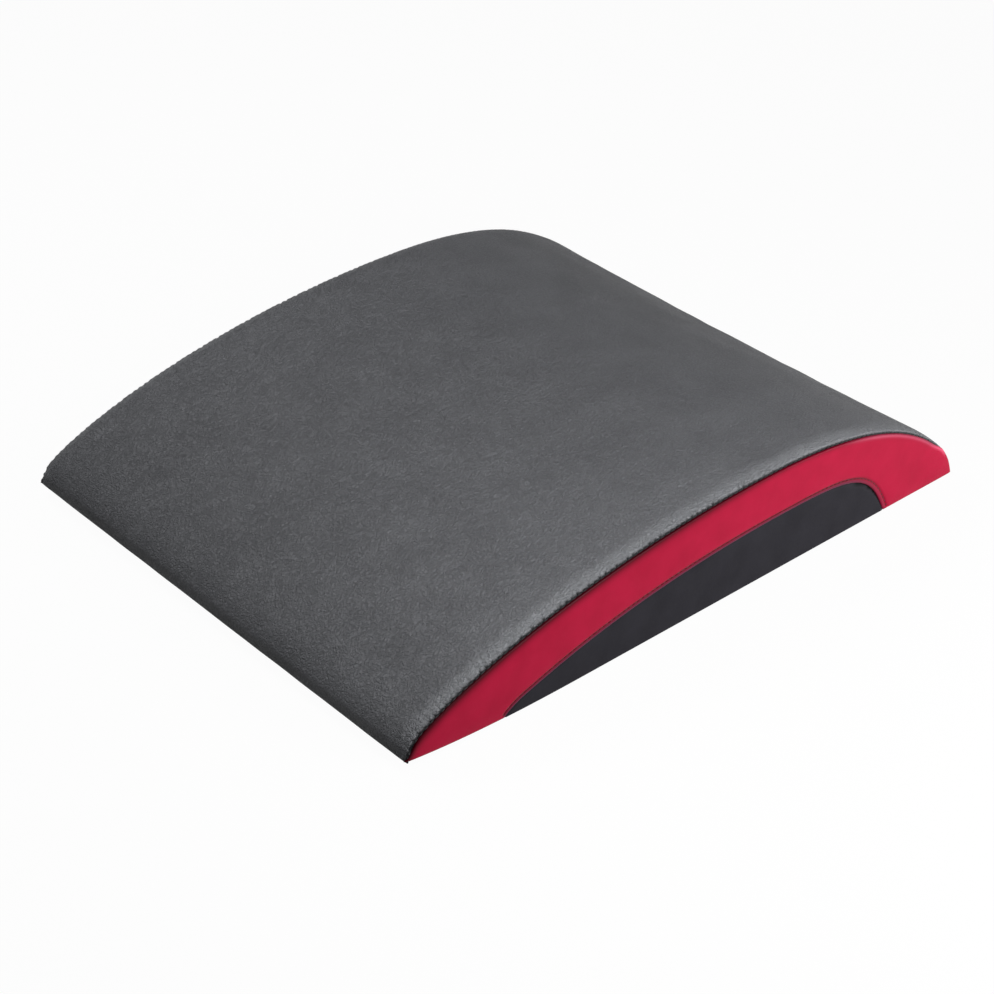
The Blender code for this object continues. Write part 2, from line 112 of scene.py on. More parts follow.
def pick(kind, test):
    """Select the corners, edges or faces whose middle passes a test, and nothing else."""
    bpy.ops.mesh.select_mode(type={"verts": "VERT", "edges": "EDGE", "faces": "FACE"}[kind])
    bpy.ops.mesh.select_all(action="DESELECT")
    mesh = taken().data
    shape = bmesh.from_edit_mesh(mesh)
    for part in getattr(shape, kind):
        if kind == "verts":
            middle = part.co
        elif kind == "edges":
            middle = (part.verts[0].co + part.verts[1].co) / 2
        else:
            middle = part.calc_center_median()
        if test(middle):
            part.select = True
    shape.select_flush_mode()
    bmesh.update_edit_mesh(mesh)


def extrude(x=0, y=0, z=0):
    """Draw the picked faces of the open mesh out."""
    bpy.ops.mesh.extrude_region_move(TRANSFORM_OT_translate={"value": (x, y, z)})


def face_outwards():
    """Turn every face of the open mesh outwards."""
    pick_all()
    bpy.ops.mesh.normals_make_consistent(inside=False)


def apply_modifiers(target):
    take(target)
    for name in [modifier.name for modifier in target.modifiers]:
        bpy.ops.object.modifier_apply(modifier=name)


def settle(target):
    """Put an object's place and size into its mesh, so that the object sits at the origin."""
    take(target)
    bpy.ops.object.transform_apply(location=True, rotation=True, scale=True)


def added(add_primitive, **settings):
    """Add a primitive and put its place and size into its mesh."""
    add_primitive(**settings)
    settle(taken())
    return taken()


def subdivide(target):
    smoother = target.modifiers.new("smoother", "SUBSURF")
    smoother.levels = smoother.render_levels = 1
    apply_modifiers(target)


def thicken(target, thickness, offset):
    """Make a closed sheet of a surface: offset -1 adds the thickness behind it, 1 in front."""
    wall = target.modifiers.new("sheet", "SOLIDIFY")
    wall.thickness = thickness
    wall.offset = offset
    apply_modifiers(target)


def read_points(target):
    points = np.empty(len(target.data.vertices) * 3)
    target.data.vertices.foreach_get("co", points)
    return points.reshape(-1, 3)


def write_points(target, points):
    target.data.vertices.foreach_set("co", np.ascontiguousarray(points).ravel())
    target.data.update()


def count_faces(target):
    return f"{target.name}: {len(target.data.polygons)} faces"


def hand_over(piece, body, slot, *stands_for):
    """Say which body a piece rides on and which solids it replaces; the slot is not used."""
    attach(piece, body)
    for node_name in stands_for:
        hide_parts(node_name)


# %% [markdown]
# ## Side outline
#
# The whole mat follows one line, the seam along the edge of its side: a round nose at the thin
# end, a long rising spine, a dome, and a flat wall that slopes back at the thick end. It is
# drawn in (y, z) with the same curves as the solid model, only in finer steps.

# %% The seam line
half_length = 200 * mm
half_width = 150 * mm
cover_edge = 148.5 * mm
tip = Vector((-half_length + 1 * mm, 7 * mm))
shoulder = Vector((-half_length + 12.4 * mm, 20 * mm))
crest = Vector((half_length - 157 * mm, 64.5 * mm))
foot = Vector((half_length, 0))
nose_angle = radians(60)
nose_share = 0.46
spine_angle = radians(30.8)
spine_shares = (0.147, 0.509)
dome_angle = radians(43)
dome_shares = (0.458, 0.318)
wall_slope = radians(60)
wall_length = 22.9 * mm
hem_height = 16.6 * mm
lip_height = 8.4 * mm
up_wall = Vector((-cos(wall_slope), sin(wall_slope)))
out_of_wall = Vector((sin(wall_slope), cos(wall_slope)))


def slope(angle):
    return Vector((cos(angle), sin(angle)))


def wall_point(up, out=0.0):
    """A point in (y, z) at a height up the rear wall's slope and a distance out from its face."""
    return foot + up_wall * up + out_of_wall * out


def curve(start, leaving, arriving, end, steps):
    """Points of a Bezier curve without its last one; each handle is given from its own end."""
    return interpolate_bezier(start, start + leaving, end + arriving, end, steps + 1)[:-1]


def seam_points():
    """The nose, the spine and the dome, each with handles that are shares of its run."""
    wall_top = wall_point(wall_length)
    nose_handle = (shoulder - tip).length * nose_share
    rise = slope(spine_angle)
    points = curve(tip, slope(nose_angle) * nose_handle, rise * -nose_handle, shoulder, 60)
    run = crest.x - shoulder.x
    leave, arrive = spine_shares
    points += curve(shoulder, rise * run * leave, Vector((-run * arrive, 0)), crest, 400)
    run = wall_top.x - crest.x
    leave, arrive = dome_shares
    points += curve(
        crest, Vector((run * leave, 0)), slope(pi - dome_angle) * run * arrive, wall_top, 250
    )
    return np.array([*points, wall_top, wall_point(hem_height)])


def distances(line):
    """How far along a line each of its points lies."""
    steps = np.hypot(*np.diff(line, axis=0).T)
    return np.concatenate([[0], np.cumsum(steps)])


def points_at(line, places):
    """The points of a line at some distances along it."""
    run = distances(line)
    return np.column_stack([np.interp(places, run, line[:, axis]) for axis in (0, 1)])


def outward(line):
    """The direction on the left of a line at each of its points, away from the mat."""
    ahead = np.gradient(line, axis=0)
    ahead /= np.hypot(*ahead.T)[:, None]
    return np.column_stack([-ahead[:, 1], ahead[:, 0]])


seam = seam_points()
seam_length = distances(seam)[-1]
print("seam:", round(seam_length / mm, 1), "mm long, top at", round(seam[:, 1].max() / mm, 1))

# %% [markdown]
# The underside is flat and sweeps up under the thin end, so that the thin edge floats a few
# millimetres above the floor.

# %% The underside
sweep_length = 121 * mm
sweep_power = 2.6


def floor_height(y):
    share = np.clip((tip.x + sweep_length - np.asarray(y)) / sweep_length, 0, 1)
    return tip.y * share**sweep_power


print("underside: thin end lifted", float(floor_height(tip.x)) / mm, "mm")

# %% [markdown]
# The window in the red side is an arch that stands on the underside: a short rounded knee in
# front, a long spine and a steeper rear. The same arch, grown a little, is the cut of the dark
# inset behind it.

# %% The window
window_front = -half_length + 60 * mm
window_rear = half_length - 58.5 * mm
window_knee = Vector((window_front + 12.8 * mm, 10 * mm))
window_crest = Vector((half_length - 137 * mm, 36.9 * mm))
knee_handles = (3 * mm, 4 * mm)
window_angle = radians(18)
window_shares = (0.156, 0.542)
window_end_angle = radians(64)
window_end_shares = (0.609, 0.401)


def window_points(grow=0.0, lift=0.0):
    front = Vector((window_front - grow, float(floor_height(window_front - grow)) + lift))
    rear = Vector((window_rear + grow, lift))
    rise = slope(window_angle)
    knee = window_knee + Vector((-rise.y, rise.x)) * grow
    top = window_crest + Vector((0, grow))
    leave, arrive = knee_handles
    points = curve(front, Vector((0, leave)), rise * -arrive, knee, 30)
    run = top.x - knee.x
    leave, arrive = window_shares
    points += curve(knee, rise * run * leave, Vector((-run * arrive, 0)), top, 200)
    run = rear.x - top.x
    leave, arrive = window_end_shares
    points += curve(
        top, Vector((run * leave, 0)), slope(pi - window_end_angle) * run * arrive, rear, 150
    )
    return np.array([*points, rear])


window = window_points()
print("window: arch", round(distances(window)[-1] / mm, 1), "mm long")

# %% [markdown]
# ## Finishes
#
# Every finish is built from nodes on object coordinates, in metres, so a grain of a millimetre
# stays a millimetre wherever it lies. One helper adds a node and fills or links its sockets.

# %% Node helpers
def new_finish(name, roughness):
    material = bpy.data.materials.new(name)
    material.use_nodes = True
    shader = material.node_tree.nodes["Principled BSDF"]
    shader.inputs["Roughness"].default_value = roughness
    return material, material.node_tree, shader


def node(tree, kind, settings=(), **sockets):
    made = tree.nodes.new(kind)
    for name, value in dict(settings).items():
        setattr(made, name, value)
    for name, value in sockets.items():
        socket = made.inputs[name.replace("_", " ")]
        if isinstance(value, bpy.types.NodeSocket):
            tree.links.new(value, socket)
        else:
            socket.default_value = value
    return made


def here(tree):
    return node(tree, "ShaderNodeTexCoord").outputs["Object"]


def noise(tree, place, size, detail=2.0, distortion=0.0):
    """Soft noise whose patches are about one size across."""
    made = node(
        tree,
        "ShaderNodeTexNoise",
        Vector=place,
        Scale=1 / size,
        Detail=detail,
        Distortion=distortion,
    )
    return made.outputs["Fac"]


def cells(tree, place, size, feature):
    made = node(
        tree, "ShaderNodeTexVoronoi", {"feature": feature}, Vector=place, Scale=1 / size
    )
    return made.outputs["Distance"]


def span(tree, value, low, high, first=0.0, last=1.0, smooth=False):
    """Turn the stretch from low to high of a value into the stretch from first to last."""
    kind = "SMOOTHSTEP" if smooth else "LINEAR"
    made = node(tree, "ShaderNodeMapRange", {"interpolation_type": kind}, Value=value)
    for name, size in zip(("From Min", "From Max", "To Min", "To Max"), (low, high, first, last)):
        made.inputs[name].default_value = size
    return made.outputs["Result"]


def sums(tree, operation, first, second):
    made = node(tree, "ShaderNodeMath", {"operation": operation})
    for socket, value in zip(made.inputs, (first, second)):
        if isinstance(value, bpy.types.NodeSocket):
            tree.links.new(value, socket)
        else:
            socket.default_value = value
    return made.outputs[0]


def between(tree, share, first, second):
    """A colour between two others, by a share that runs from 0 to 1."""
    made = node(tree, "ShaderNodeMix", {"data_type": "RGBA"})
    sockets = {socket.identifier: socket for socket in made.inputs}
    tree.links.new(share, sockets["Factor_Float"])
    for socket, colour in ((sockets["A_Color"], first), (sockets["B_Color"], second)):
        if isinstance(colour, bpy.types.NodeSocket):
            tree.links.new(colour, socket)
        else:
            socket.default_value = (*colour, 1)
    return next(s for s in made.outputs if s.identifier == "Result_Color")


def own_value(tree, name):
    """A number that the piece's own mesh holds at each corner."""
    return node(tree, "ShaderNodeAttribute", {"attribute_name": name}).outputs["Fac"]


def feed(shader, name, value):
    """Link a value to one of the shader's inputs."""
    shader.id_data.links.new(value, shader.inputs[name])


def tone(tree, shader, share, deep, light):
    """Colour the surface between two tones, by a share that runs from 0 to 1."""
    feed(shader, "Base Color", between(tree, share, deep, light))


def emboss(tree, shader, height, depth):
    bump = node(tree, "ShaderNodeBump", Height=height, Distance=depth)
    feed(shader, "Normal", bump.outputs["Normal"])


# %% [markdown]
# The black leatherette has a pebbled grain: rounded cells a millimetre across with fine creases
# between them, and here and there a longer wrinkle. The cells are Voronoi cells whose place is
# nudged by noise, so that no row of them lines up. The grain is deepest at the thin end and
# worn smoother towards the dome. Its colour also holds painted light: the creases between the
# cells are painted a little darker as painted shade, a pale painted highlight runs along the
# rolled edge, and the sewn ditch beside the edge is painted all but black as painted shade.

# %% Black leatherette
pebble_size = 1.3 * mm
pebble_edge = 0.3
wrinkle_size = 3 * mm
wrinkle_width = 0.06
fine_size = 0.6 * mm
grain_depth = 0.72 * mm
grain_stretch = (1, 0.55, 0.8)
nudge_scale = 600
nudge_reach = 0.9 * mm
worn_from = -40 * mm
worn_to = 120 * mm
worn_share = 0.45
mottle_size = 30 * mm
leather_deep = (0.121, 0.123, 0.131)
leather_light = (0.145, 0.148, 0.157)
# The pale colour of the painted highlight along the rolled edge.
ridge_highlight_colour = (0.172, 0.177, 0.186)
# The all but black colour of the painted shade in the sewn ditch.
ditch_shade_colour = (0.008, 0.008, 0.009)


def nudged(tree, place):
    """A place that noise has pushed about and that is drawn out along the grain."""
    nudge = node(tree, "ShaderNodeTexNoise", Vector=place, Scale=nudge_scale, Detail=1.0)
    shift = node(tree, "ShaderNodeVectorMath", {"operation": "SCALE"}, Scale=nudge_reach)
    tree.links.new(nudge.outputs["Color"], shift.inputs[0])
    moved = node(tree, "ShaderNodeVectorMath", {"operation": "ADD"})
    tree.links.new(place, moved.inputs[0])
    tree.links.new(shift.outputs[0], moved.inputs[1])
    drawn = node(tree, "ShaderNodeMapping", Vector=moved.outputs[0], Scale=grain_stretch)
    return drawn.outputs["Vector"]


def black_leatherette():
    material, tree, shader = new_finish("black_leatherette", 0.5)
    shader.inputs["Specular IOR Level"].default_value = 0.1
    place = here(tree)
    drawn = nudged(tree, place)
    pebbles = cells(tree, drawn, pebble_size, "DISTANCE_TO_EDGE")
    pebble = span(tree, pebbles, 0.0, pebble_edge, smooth=True)
    folds = noise(tree, drawn, wrinkle_size, 3, 1.5)
    folds = sums(tree, "ABSOLUTE", sums(tree, "SUBTRACT", folds, 0.5), 0)
    wrinkle = span(tree, folds, 0.0, wrinkle_width, smooth=True)
    fine = sums(tree, "MULTIPLY", noise(tree, place, fine_size), 0.2)
    height = sums(tree, "MULTIPLY", sums(tree, "ADD", pebble, wrinkle), 0.5)
    height = sums(tree, "ADD", height, fine)
    split = node(tree, "ShaderNodeSeparateXYZ", Vector=place)
    worn = span(tree, split.outputs["Y"], worn_from, worn_to, 1.0, worn_share, smooth=True)
    emboss(tree, shader, sums(tree, "MULTIPLY", height, worn), grain_depth)
    mottle = noise(tree, place, mottle_size, 3)
    # Pebble middles paler, creases between them darker: painted shade in the grain, over a random
    # mottle.
    shade = sums(tree, "ADD", mottle, sums(tree, "MULTIPLY", pebble, 0.3))
    colour = between(tree, span(tree, shade, 0.4, 0.95), leather_deep, leather_light)
    # A pale painted highlight along the rolled edge.
    colour = between(tree, own_value(tree, "painted_ridge_highlight"), colour, ridge_highlight_colour)
    # Painted shade: the sewn ditch goes all but black.
    tone(tree, shader, own_value(tree, "painted_ditch_shade"), colour, ditch_shade_colour)
    shine = sums(tree, "ADD", pebble, mottle)
    feed(shader, "Roughness", span(tree, shine, 0.3, 1.6, 0.54, 0.42))
    return material


leather_finish = black_leatherette()
print("finish:", leather_finish.name)

# %% [markdown]
# The red and the dark side leatherettes are smooth: only a faint fine grain, a soft unevenness
# of the sheet over its foam, and a slight change of tone. Light and shade are painted into their
# colour: painted shade in the sewn crease and along the seam beside the top, a darker, greyed lip
# of painted shade and painted reflection, and a pale painted highlight along the dome's edge. One
# function makes both.

# %% Smooth leatherettes
red_tones = ((0.233, 0.0033, 0.0206), (0.265, 0.0044, 0.0250))
dark_tones = ((0.0105, 0.0099, 0.0126), (0.0138, 0.0131, 0.0165))
# The lip's colour: painted shade, greyed by a painted reflection of the floor.
lip_shade_colour = (0.095, 0.015, 0.034)
# The pale colour of the painted highlight along the dome's edge.
edge_highlight_colour = (0.50, 0.07, 0.13)
# How dark the painted shade makes the deep tone, in creases and along the seam.
painted_shade_share = 0.05
smooth_depth = 0.10 * mm
gloss_change = 0.05


def smooth_leatherette(name, deep, light, roughness, shine):
    """A smooth sheet with painted shade in its creases and on its turned lip, and painted
    highlights.
    """
    material, tree, shader = new_finish(name, roughness)
    shader.inputs["Specular IOR Level"].default_value = shine
    place = here(tree)
    mottle = noise(tree, place, 14 * mm, 3)
    grain = noise(tree, place, 0.8 * mm, 2)
    soft = noise(tree, place, 9 * mm, 1)
    height = sums(tree, "ADD", sums(tree, "MULTIPLY", grain, 0.3), soft)
    emboss(tree, shader, height, smooth_depth)
    colour = between(tree, span(tree, mottle, 0.3, 0.7), deep, light)
    # Painted shade and a greyed painted reflection on the turned lip.
    colour = between(tree, own_value(tree, "lip"), colour, lip_shade_colour)
    # A pale painted highlight along the edge of the dome.
    colour = between(tree, own_value(tree, "painted_edge_highlight"), colour, edge_highlight_colour)
    # Painted shade: creases, the seam beside the top and the inset's window edge go nearly black.
    painted_dark = tuple(painted_shade_share * value for value in deep)
    tone(tree, shader, own_value(tree, "painted_shade"), colour, painted_dark)
    rough, smooth = roughness + gloss_change, roughness - gloss_change
    feed(shader, "Roughness", span(tree, grain, 0.3, 0.7, rough, smooth))
    return material


red_finish = smooth_leatherette("red_leatherette", *red_tones, 0.42, 0.05)
inset_finish = smooth_leatherette("dark_leatherette", *dark_tones, 0.5, 0.04)
print("finishes:", red_finish.name, inset_finish.name)

# %% [markdown]
# ## Padded top
#
# On the real mat the top is one sheet of padded leatherette. It is cut flat, laid over the foam
# and sewn to both sides, and the foam behind it pushes it up between the stitches. So it is
# made here the same way: a sheet is laid along the seam line, held only at its stitches, and
# blown up as cloth. Its rows are half the stitch spacing apart, and its columns come
# closer together towards each seam, where the small folds are.

# %% The flat sheet
tuck_pitch = 3.7 * mm
rows_per_tuck = 2
edge_steps = (0.5, 0.7, 1.0, 1.4, 1.9, 2.5, 3.2)
middle_step = 8 * mm


def grid_sheet(name, columns, rows):
    """A flat grid to be laid out: gives the sheet and each corner's column and row number."""
    sheet = added(
        bpy.ops.mesh.primitive_grid_add, x_subdivisions=columns, y_subdivisions=rows, size=2
    )
    sheet.name = name
    flat = read_points(sheet)
    column = np.rint((flat[:, 0] + 1) / 2 * columns).astype(int)
    row = np.rint((flat[:, 1] + 1) / 2 * rows).astype(int)
    return sheet, column, row


def sheet_columns():
    from_edge = np.cumsum(edge_steps) * mm
    inner = cover_edge - from_edge[-1]
    middle = np.linspace(-inner, inner, 2 * round(inner / middle_step) + 1)
    edge = np.concatenate([[cover_edge], cover_edge - from_edge[:-1]])
    return np.concatenate([-edge, middle, edge[::-1]])


def read_value(target, name):
    values = np.empty(len(target.data.vertices))
    target.data.attributes[name].data.foreach_get("value", values)
    return values


def keep_value(target, name, values):
    """Store a number at each corner, for a finish or for a later step."""
    kept = target.data.attributes.new(name, "FLOAT", "POINT")
    kept.data.foreach_set("value", np.ascontiguousarray(values, dtype=float))


across = sheet_columns()
tucks = round(seam_length / tuck_pitch)
row_places = np.linspace(0, seam_length, tucks * rows_per_tuck + 1)
row_points = points_at(seam, row_places)
row_outward = outward(row_points)

top, column, row = grid_sheet("padded_top", len(across) - 1, len(row_places) - 1)
flat_sheet = np.column_stack([across[column], row_points[row]])
write_points(top, flat_sheet)
keep_value(top, "along", row_places[row])
keep_value(top, "across", across[column])
print(count_faces(top), "and", tucks, "tucks on each side")

# %% [markdown]
# Blender's cloth does the padding. Pressure pushes the sheet out, gravity is off, and only the
# stitches and the two hems are pinned, so the sheet swells between them. The cap keeps the
# foam's own height: however far the cloth would go, no point rises more than the crown, and
# none stays much below the foam's rounded form. The crown is lower over the dome at the rear,
# and there the middle sags a little as well.

# %% Blow the sheet up
crown_rise = 3.2 * mm
crown_at_rear = 1.3 * mm
rear_start_share = 0.64
rear_length_share = 0.28
middle_sag = 1.6 * mm
roll_width = 8.5 * mm
roll_power = 0.75
nose_fade = 6 * mm
hem_fade = 12 * mm
least_rise_share = 0.9
frames = 20


def eased(share):
    share = np.clip(share, 0, 1)
    return share * share * (3 - 2 * share)


def blow_up(sheet, pinned, pressure, slack):
    """Let the sheet swell as cloth that is held at its pinned corners."""
    pins = sheet.vertex_groups.new(name="stitched_down")
    pins.add([int(i) for i in np.flatnonzero(pinned)], 1.0, "REPLACE")
    cloth = sheet.modifiers.new("padding", "CLOTH")
    cloth.settings.quality = 6
    cloth.settings.mass = 0.2
    cloth.settings.tension_stiffness = 6
    cloth.settings.compression_stiffness = 6
    cloth.settings.bending_stiffness = 0.2
    cloth.settings.shrink_min = -slack
    cloth.settings.use_pressure = True
    cloth.settings.uniform_pressure_force = pressure
    cloth.settings.vertex_group_mass = "stitched_down"
    cloth.settings.effector_weights.gravity = 0
    cloth.point_cache.frame_end = frames
    for number in range(1, frames + 1):
        bpy.context.scene.frame_set(number)
    apply_modifiers(sheet)
    bpy.context.scene.frame_set(1)
    sheet.vertex_groups.clear()


on_side = (column == 0) | (column == len(across) - 1)
on_hem = (row == 0) | (row == len(row_places) - 1)
along, over = row_places[row], across[column]
fade = eased(along / nose_fade) * eased((seam_length - along) / hem_fade)
past = np.clip((np.abs(over) - cover_edge + roll_width) / roll_width, 0, 1)
foam_rise = crown_rise * (1 - past**2) ** roll_power
rearward = eased((along / seam_length - rear_start_share) / rear_length_share)
crown = 1 - rearward * (1 - crown_at_rear / crown_rise)
sag = middle_sag * rearward * (1 - (over / cover_edge) ** 2)
rise = foam_rise
blow_up(top, on_hem | (on_side & (row % rows_per_tuck == 0)), pressure=30, slack=0.01)
lift = read_points(top) - flat_sheet
rise = (lift[:, 1:] * row_outward[row]).sum(axis=1)
print("cloth: rose", round(float(rise.max()) / mm, 2), "mm before the cap")
capped = crown_rise * np.tanh(rise / crown_rise)
rise = np.maximum(capped, least_rise_share * foam_rise)
rise = (rise * crown - sag) * fade
write_points(top, flat_sheet + np.column_stack([0 * rise, row_outward[row] * rise[:, None]]))

# %% [markdown]
# One subdivision smooths the sheet. The seam comes after it: along each side the edge plunges
# into a narrow ditch. At every stitch the ditch bites a little deeper into the top, which gives
# the scalloped edge, and a small fold runs inwards from it and dies away. Beside the ditch the
# padded edge rolls out over the seam. The sheet is gathered hardest at the two thin corners,
# where it covers the seam altogether, and its hems are turned in.

# %% Sew the edges down
ditch_width = 0.4 * mm
ditch_bite = 1.1 * mm
ditch_at_nose = 1.6 * mm
ditch_depth = 2.2 * mm
corner_reach = 12 * mm
corner_size = 7 * mm
corner_ease = 0.8
corner_cover = 1.7 * mm
cover_reach = 4 * mm
overhang = 0.5 * mm
overhang_place = 1.2 * mm
fold_depth = 0.5 * mm
fold_reach = 4 * mm
calm_share = 0.7
calm_from = 0.45 * seam_length
calm_over = 0.25 * seam_length
gather_depth = 0.5 * mm
gather_reach = 8 * mm
gathers = 9
hem_turn = 0.3 * mm
hem_width = 1.8 * mm
unevenness = 0.10 * mm
waves = 7
shortest_wave, longest_wave = 18, 50
level_edge = 10 * mm
# Where the painted shade in the ditch starts and how fast it deepens.
dark_from, dark_over = 0.12, 0.4
# The painted highlight along the rolled edge: strength, place, width, fade-in and loss to the rear.
ridge_highlight_share = 0.85
ridge_highlight_place = 3 * mm
ridge_highlight_width = 3.2 * mm
ridge_highlight_start = 50 * mm
ridge_highlight_loss = 0.35
loss_from, loss_over = 0.3, 0.2
cover_sheet = 1.2 * mm


def hump(distance, middle, width, height):
    """A height that is reached at one distance from the edge and dies away on both sides."""
    return height * np.exp(-(((distance - middle) / width) ** 2))


subdivide(top)
along, over = read_value(top, "along"), read_value(top, "across")
points = read_points(top)
chance = np.random.default_rng(4)
inward = np.maximum(cover_edge - np.abs(over), 0)

stitch_strength = chance.uniform(0.2, 1.5, (2, tucks + 2))
side = (over > 0).astype(int)
number = along / tuck_pitch
strength = stitch_strength[side, np.clip(np.rint(number).astype(int), 0, tucks + 1)]
calm = 1 - calm_share * eased((along - calm_from) / calm_over)
pull = np.cos(pi * number) ** 2 * strength * calm
width = ditch_width + ditch_bite * pull + ditch_at_nose * np.exp(-along / corner_reach)
in_ditch = np.clip(1 - inward / width, 0, 1)
at_corner = np.exp(-along / corner_size)
drop = ditch_depth * (1 - corner_ease * at_corner) * in_ditch**2
drop += fold_depth * pull * np.exp(-inward / fold_reach)

from_corner = np.hypot(inward, along)
ray = np.arctan2(inward, along + 0.01 * mm)
gather = np.cos(gathers * ray) ** 2 * np.exp(-from_corner / gather_reach)
drop += gather_depth * gather * np.clip(from_corner / (2 * mm), 0, 1)
to_hem = np.minimum(along, seam_length - along)
drop += hem_turn * np.clip(1 - to_hem / hem_width, 0, 1) ** 2
for _ in range(waves):
    turn, shift = chance.uniform(0, 2 * pi, 2)
    length = chance.uniform(shortest_wave, longest_wave) * mm
    phase = (over * cos(turn) + along * sin(turn)) * 2 * pi / length + shift
    height = unevenness * length / (longest_wave * mm)
    drop += height * np.cos(phase) * np.clip(inward / level_edge, 0, 1)

roll = hump(inward, overhang_place, overhang_place, overhang)
cover = corner_cover * at_corner * np.exp(-inward / cover_reach)
points[:, 0] += np.sign(over) * (roll + cover)
side_normal = [np.interp(along, row_places, row_outward[:, axis]) for axis in (0, 1)]
points[:, 1:] -= np.column_stack(side_normal) * drop[:, None]
write_points(top, points)
# Painted shade: how far each corner lies in the ditch, which the finish paints all but black.
keep_value(top, "painted_ditch_shade", eased((in_ditch - dark_from) / dark_over))
# Painted highlight: a pale band along the rolled edge, fading in from the nose, weaker to the rear.
painted_ridge_highlight = 1 - ridge_highlight_loss * eased((along / seam_length - loss_from) / loss_over)
painted_ridge_highlight *= eased(along / ridge_highlight_start)
pale = hump(inward, ridge_highlight_place, ridge_highlight_width, ridge_highlight_share)
keep_value(top, "painted_ridge_highlight", pale * painted_ridge_highlight)

thicken(top, cover_sheet, -1)
top.data.shade_smooth()
top.data.materials.append(leather_finish)
hand_over(top, "mat", "black_leather", "top_cover")
print(count_faces(top))

# %% [markdown]
# ## Red sides
#
# Each side is a sheet of smooth red leatherette with the window cut out and turned back. It is
# a band between two lines, the seam on the outside and the window on the inside, so it is laid
# out as a grid from line to line. Its columns keep real distances from both edges, where the
# rolled edge, the lip and the sewn crease run along them.

# %% A band between two lines
def band_between(inner, outer, from_inner, from_outer, middle_steps):
    """Points of a band, and how far each lies from its inner and its outer line."""
    reach = np.hypot(*(outer - inner).T)
    needed = from_inner[-1] + from_outer[-1]
    squeeze = np.minimum(1, 0.8 * reach / needed)[:, None]
    near = from_inner[None, :] * squeeze
    far = reach[:, None] - from_outer[::-1][None, :] * squeeze
    share = np.linspace(0, 1, middle_steps + 1)[None, 1:-1]
    middle = near[:, -1:] + (far[:, :1] - near[:, -1:]) * share
    run = np.concatenate([near, middle, far], axis=1)
    ahead = (outer - inner) / np.maximum(reach, 1e-9)[:, None]
    points = inner[:, None, :] + ahead[:, None, :] * run[:, :, None]
    return points, run, reach[:, None] - run


def matched(line, knots, counts):
    """Points of a line, evenly spaced between knots: so many steps to each stretch."""
    run = distances(line)
    places = [run[np.argmin(np.hypot(*(line - knot).T))] for knot in knots]
    parts = [
        np.linspace(start, end, count, endpoint=False)
        for start, end, count in zip(places, places[1:], counts)
    ]
    return points_at(line, np.concatenate([*parts, [places[-1]]]))


def bottom_points(start, end, steps=60):
    y = np.linspace(start, end, steps + 1)
    return np.column_stack([y, floor_height(y)])


seam_tuck = 1.0 * mm
tuck_start = 4 * mm
wall_bulge = 1.3 * mm
lip_reach = 2.3 * mm
lip_at_rear = 0.7 * mm
lip_narrows, narrows_over = 0.72, 0.2
seam_knots = (62 * mm, 88 * mm)
last_knot = 22 * mm
along_seam = distances(seam)
wall_start = seam_length - (wall_length - hem_height)
past_nose = eased(along_seam / tuck_start)
before_wall = eased((wall_start - along_seam) / hem_fade)
tucked = seam - outward(seam) * (seam_tuck * past_nose * before_wall)[:, None]
tucked = tucked[along_seam < wall_start - 0.5 * mm]
wall_edge = [
    wall_point(up, wall_bulge * sin(pi * up / wall_length))
    for up in np.linspace(wall_length, 0, 15)
]
outside = np.concatenate([tucked, np.array(wall_edge)])
along_arch = distances(window) / distances(window)[-1]
to_rear = eased((along_arch - lip_narrows) / narrows_over)
lip = window - outward(window) * (lip_reach + (lip_at_rear - lip_reach) * to_rear)[:, None]
lip[:, 1] = np.maximum(lip[:, 1], floor_height(lip[:, 0]))
inside = np.concatenate(
    [bottom_points(tip.x, lip[0, 0])[:-1], lip, bottom_points(lip[-1, 0], foot.x)[1:]]
)
stretches = (40, 24, 150, 90, 40)
outside_knots = [
    seam[0],
    *points_at(seam, seam_knots),
    np.array(crest),
    *points_at(seam, [seam_length - last_knot]),
    np.array(foot),
]
inside_knots = [
    np.array(tip),
    lip[0],
    np.array(window_knee),
    np.array(window_crest),
    lip[-1],
    np.array(foot),
]
outer_line = matched(outside, outside_knots, stretches)
inner_line = matched(inside, inside_knots, stretches)
print("red band:", len(outer_line), "stations")

# %% [markdown]
# The face of the band is then pressed in and out of the side's plane: rounded off towards the
# seam, where it turns in beside the top, and pulled down in a crease where the window's edge is
# sewn. Between the crease and the edge the turned sheet stands up as a lip. The painted shade in
# the crease and on the lip is weaker at the window's rear end, and the outer edge is rounder on
# the dome.

# %% Press the face and give it a back
panel_back = 148.8 * mm
panel_swell = 0.5 * mm
swell_reach = 20 * mm
rolled_edge = (0.9 * mm, 0.5 * mm)
rolled_on_dome = (2.0 * mm, 0.8 * mm)
lip_edge = (1.1 * mm, 1.0 * mm)
dome_start, dome_over = 0.72, 0.1
crease_place = 2.75 * mm
crease_width = 0.8 * mm
crease_depth = 0.45 * mm
# Painted shade in the colour: along the seam beside the top, where the black edge overhangs.
shade_reach = 3.0 * mm
shade_strength = 0.9
shade_loss = 0.55
shade_fades, fades_over = 0.4, 0.3
shade_ends, ends_over = 10 * mm, 15 * mm
rear_start, rear_over = 0.78, 0.17
crease_shade, crease_loss = 0.9, 0.5
# The lip's painted shade: its loss at the window's rear end and its fade towards the crease.
lip_loss = 0.6
lip_fade = 0.7 * mm
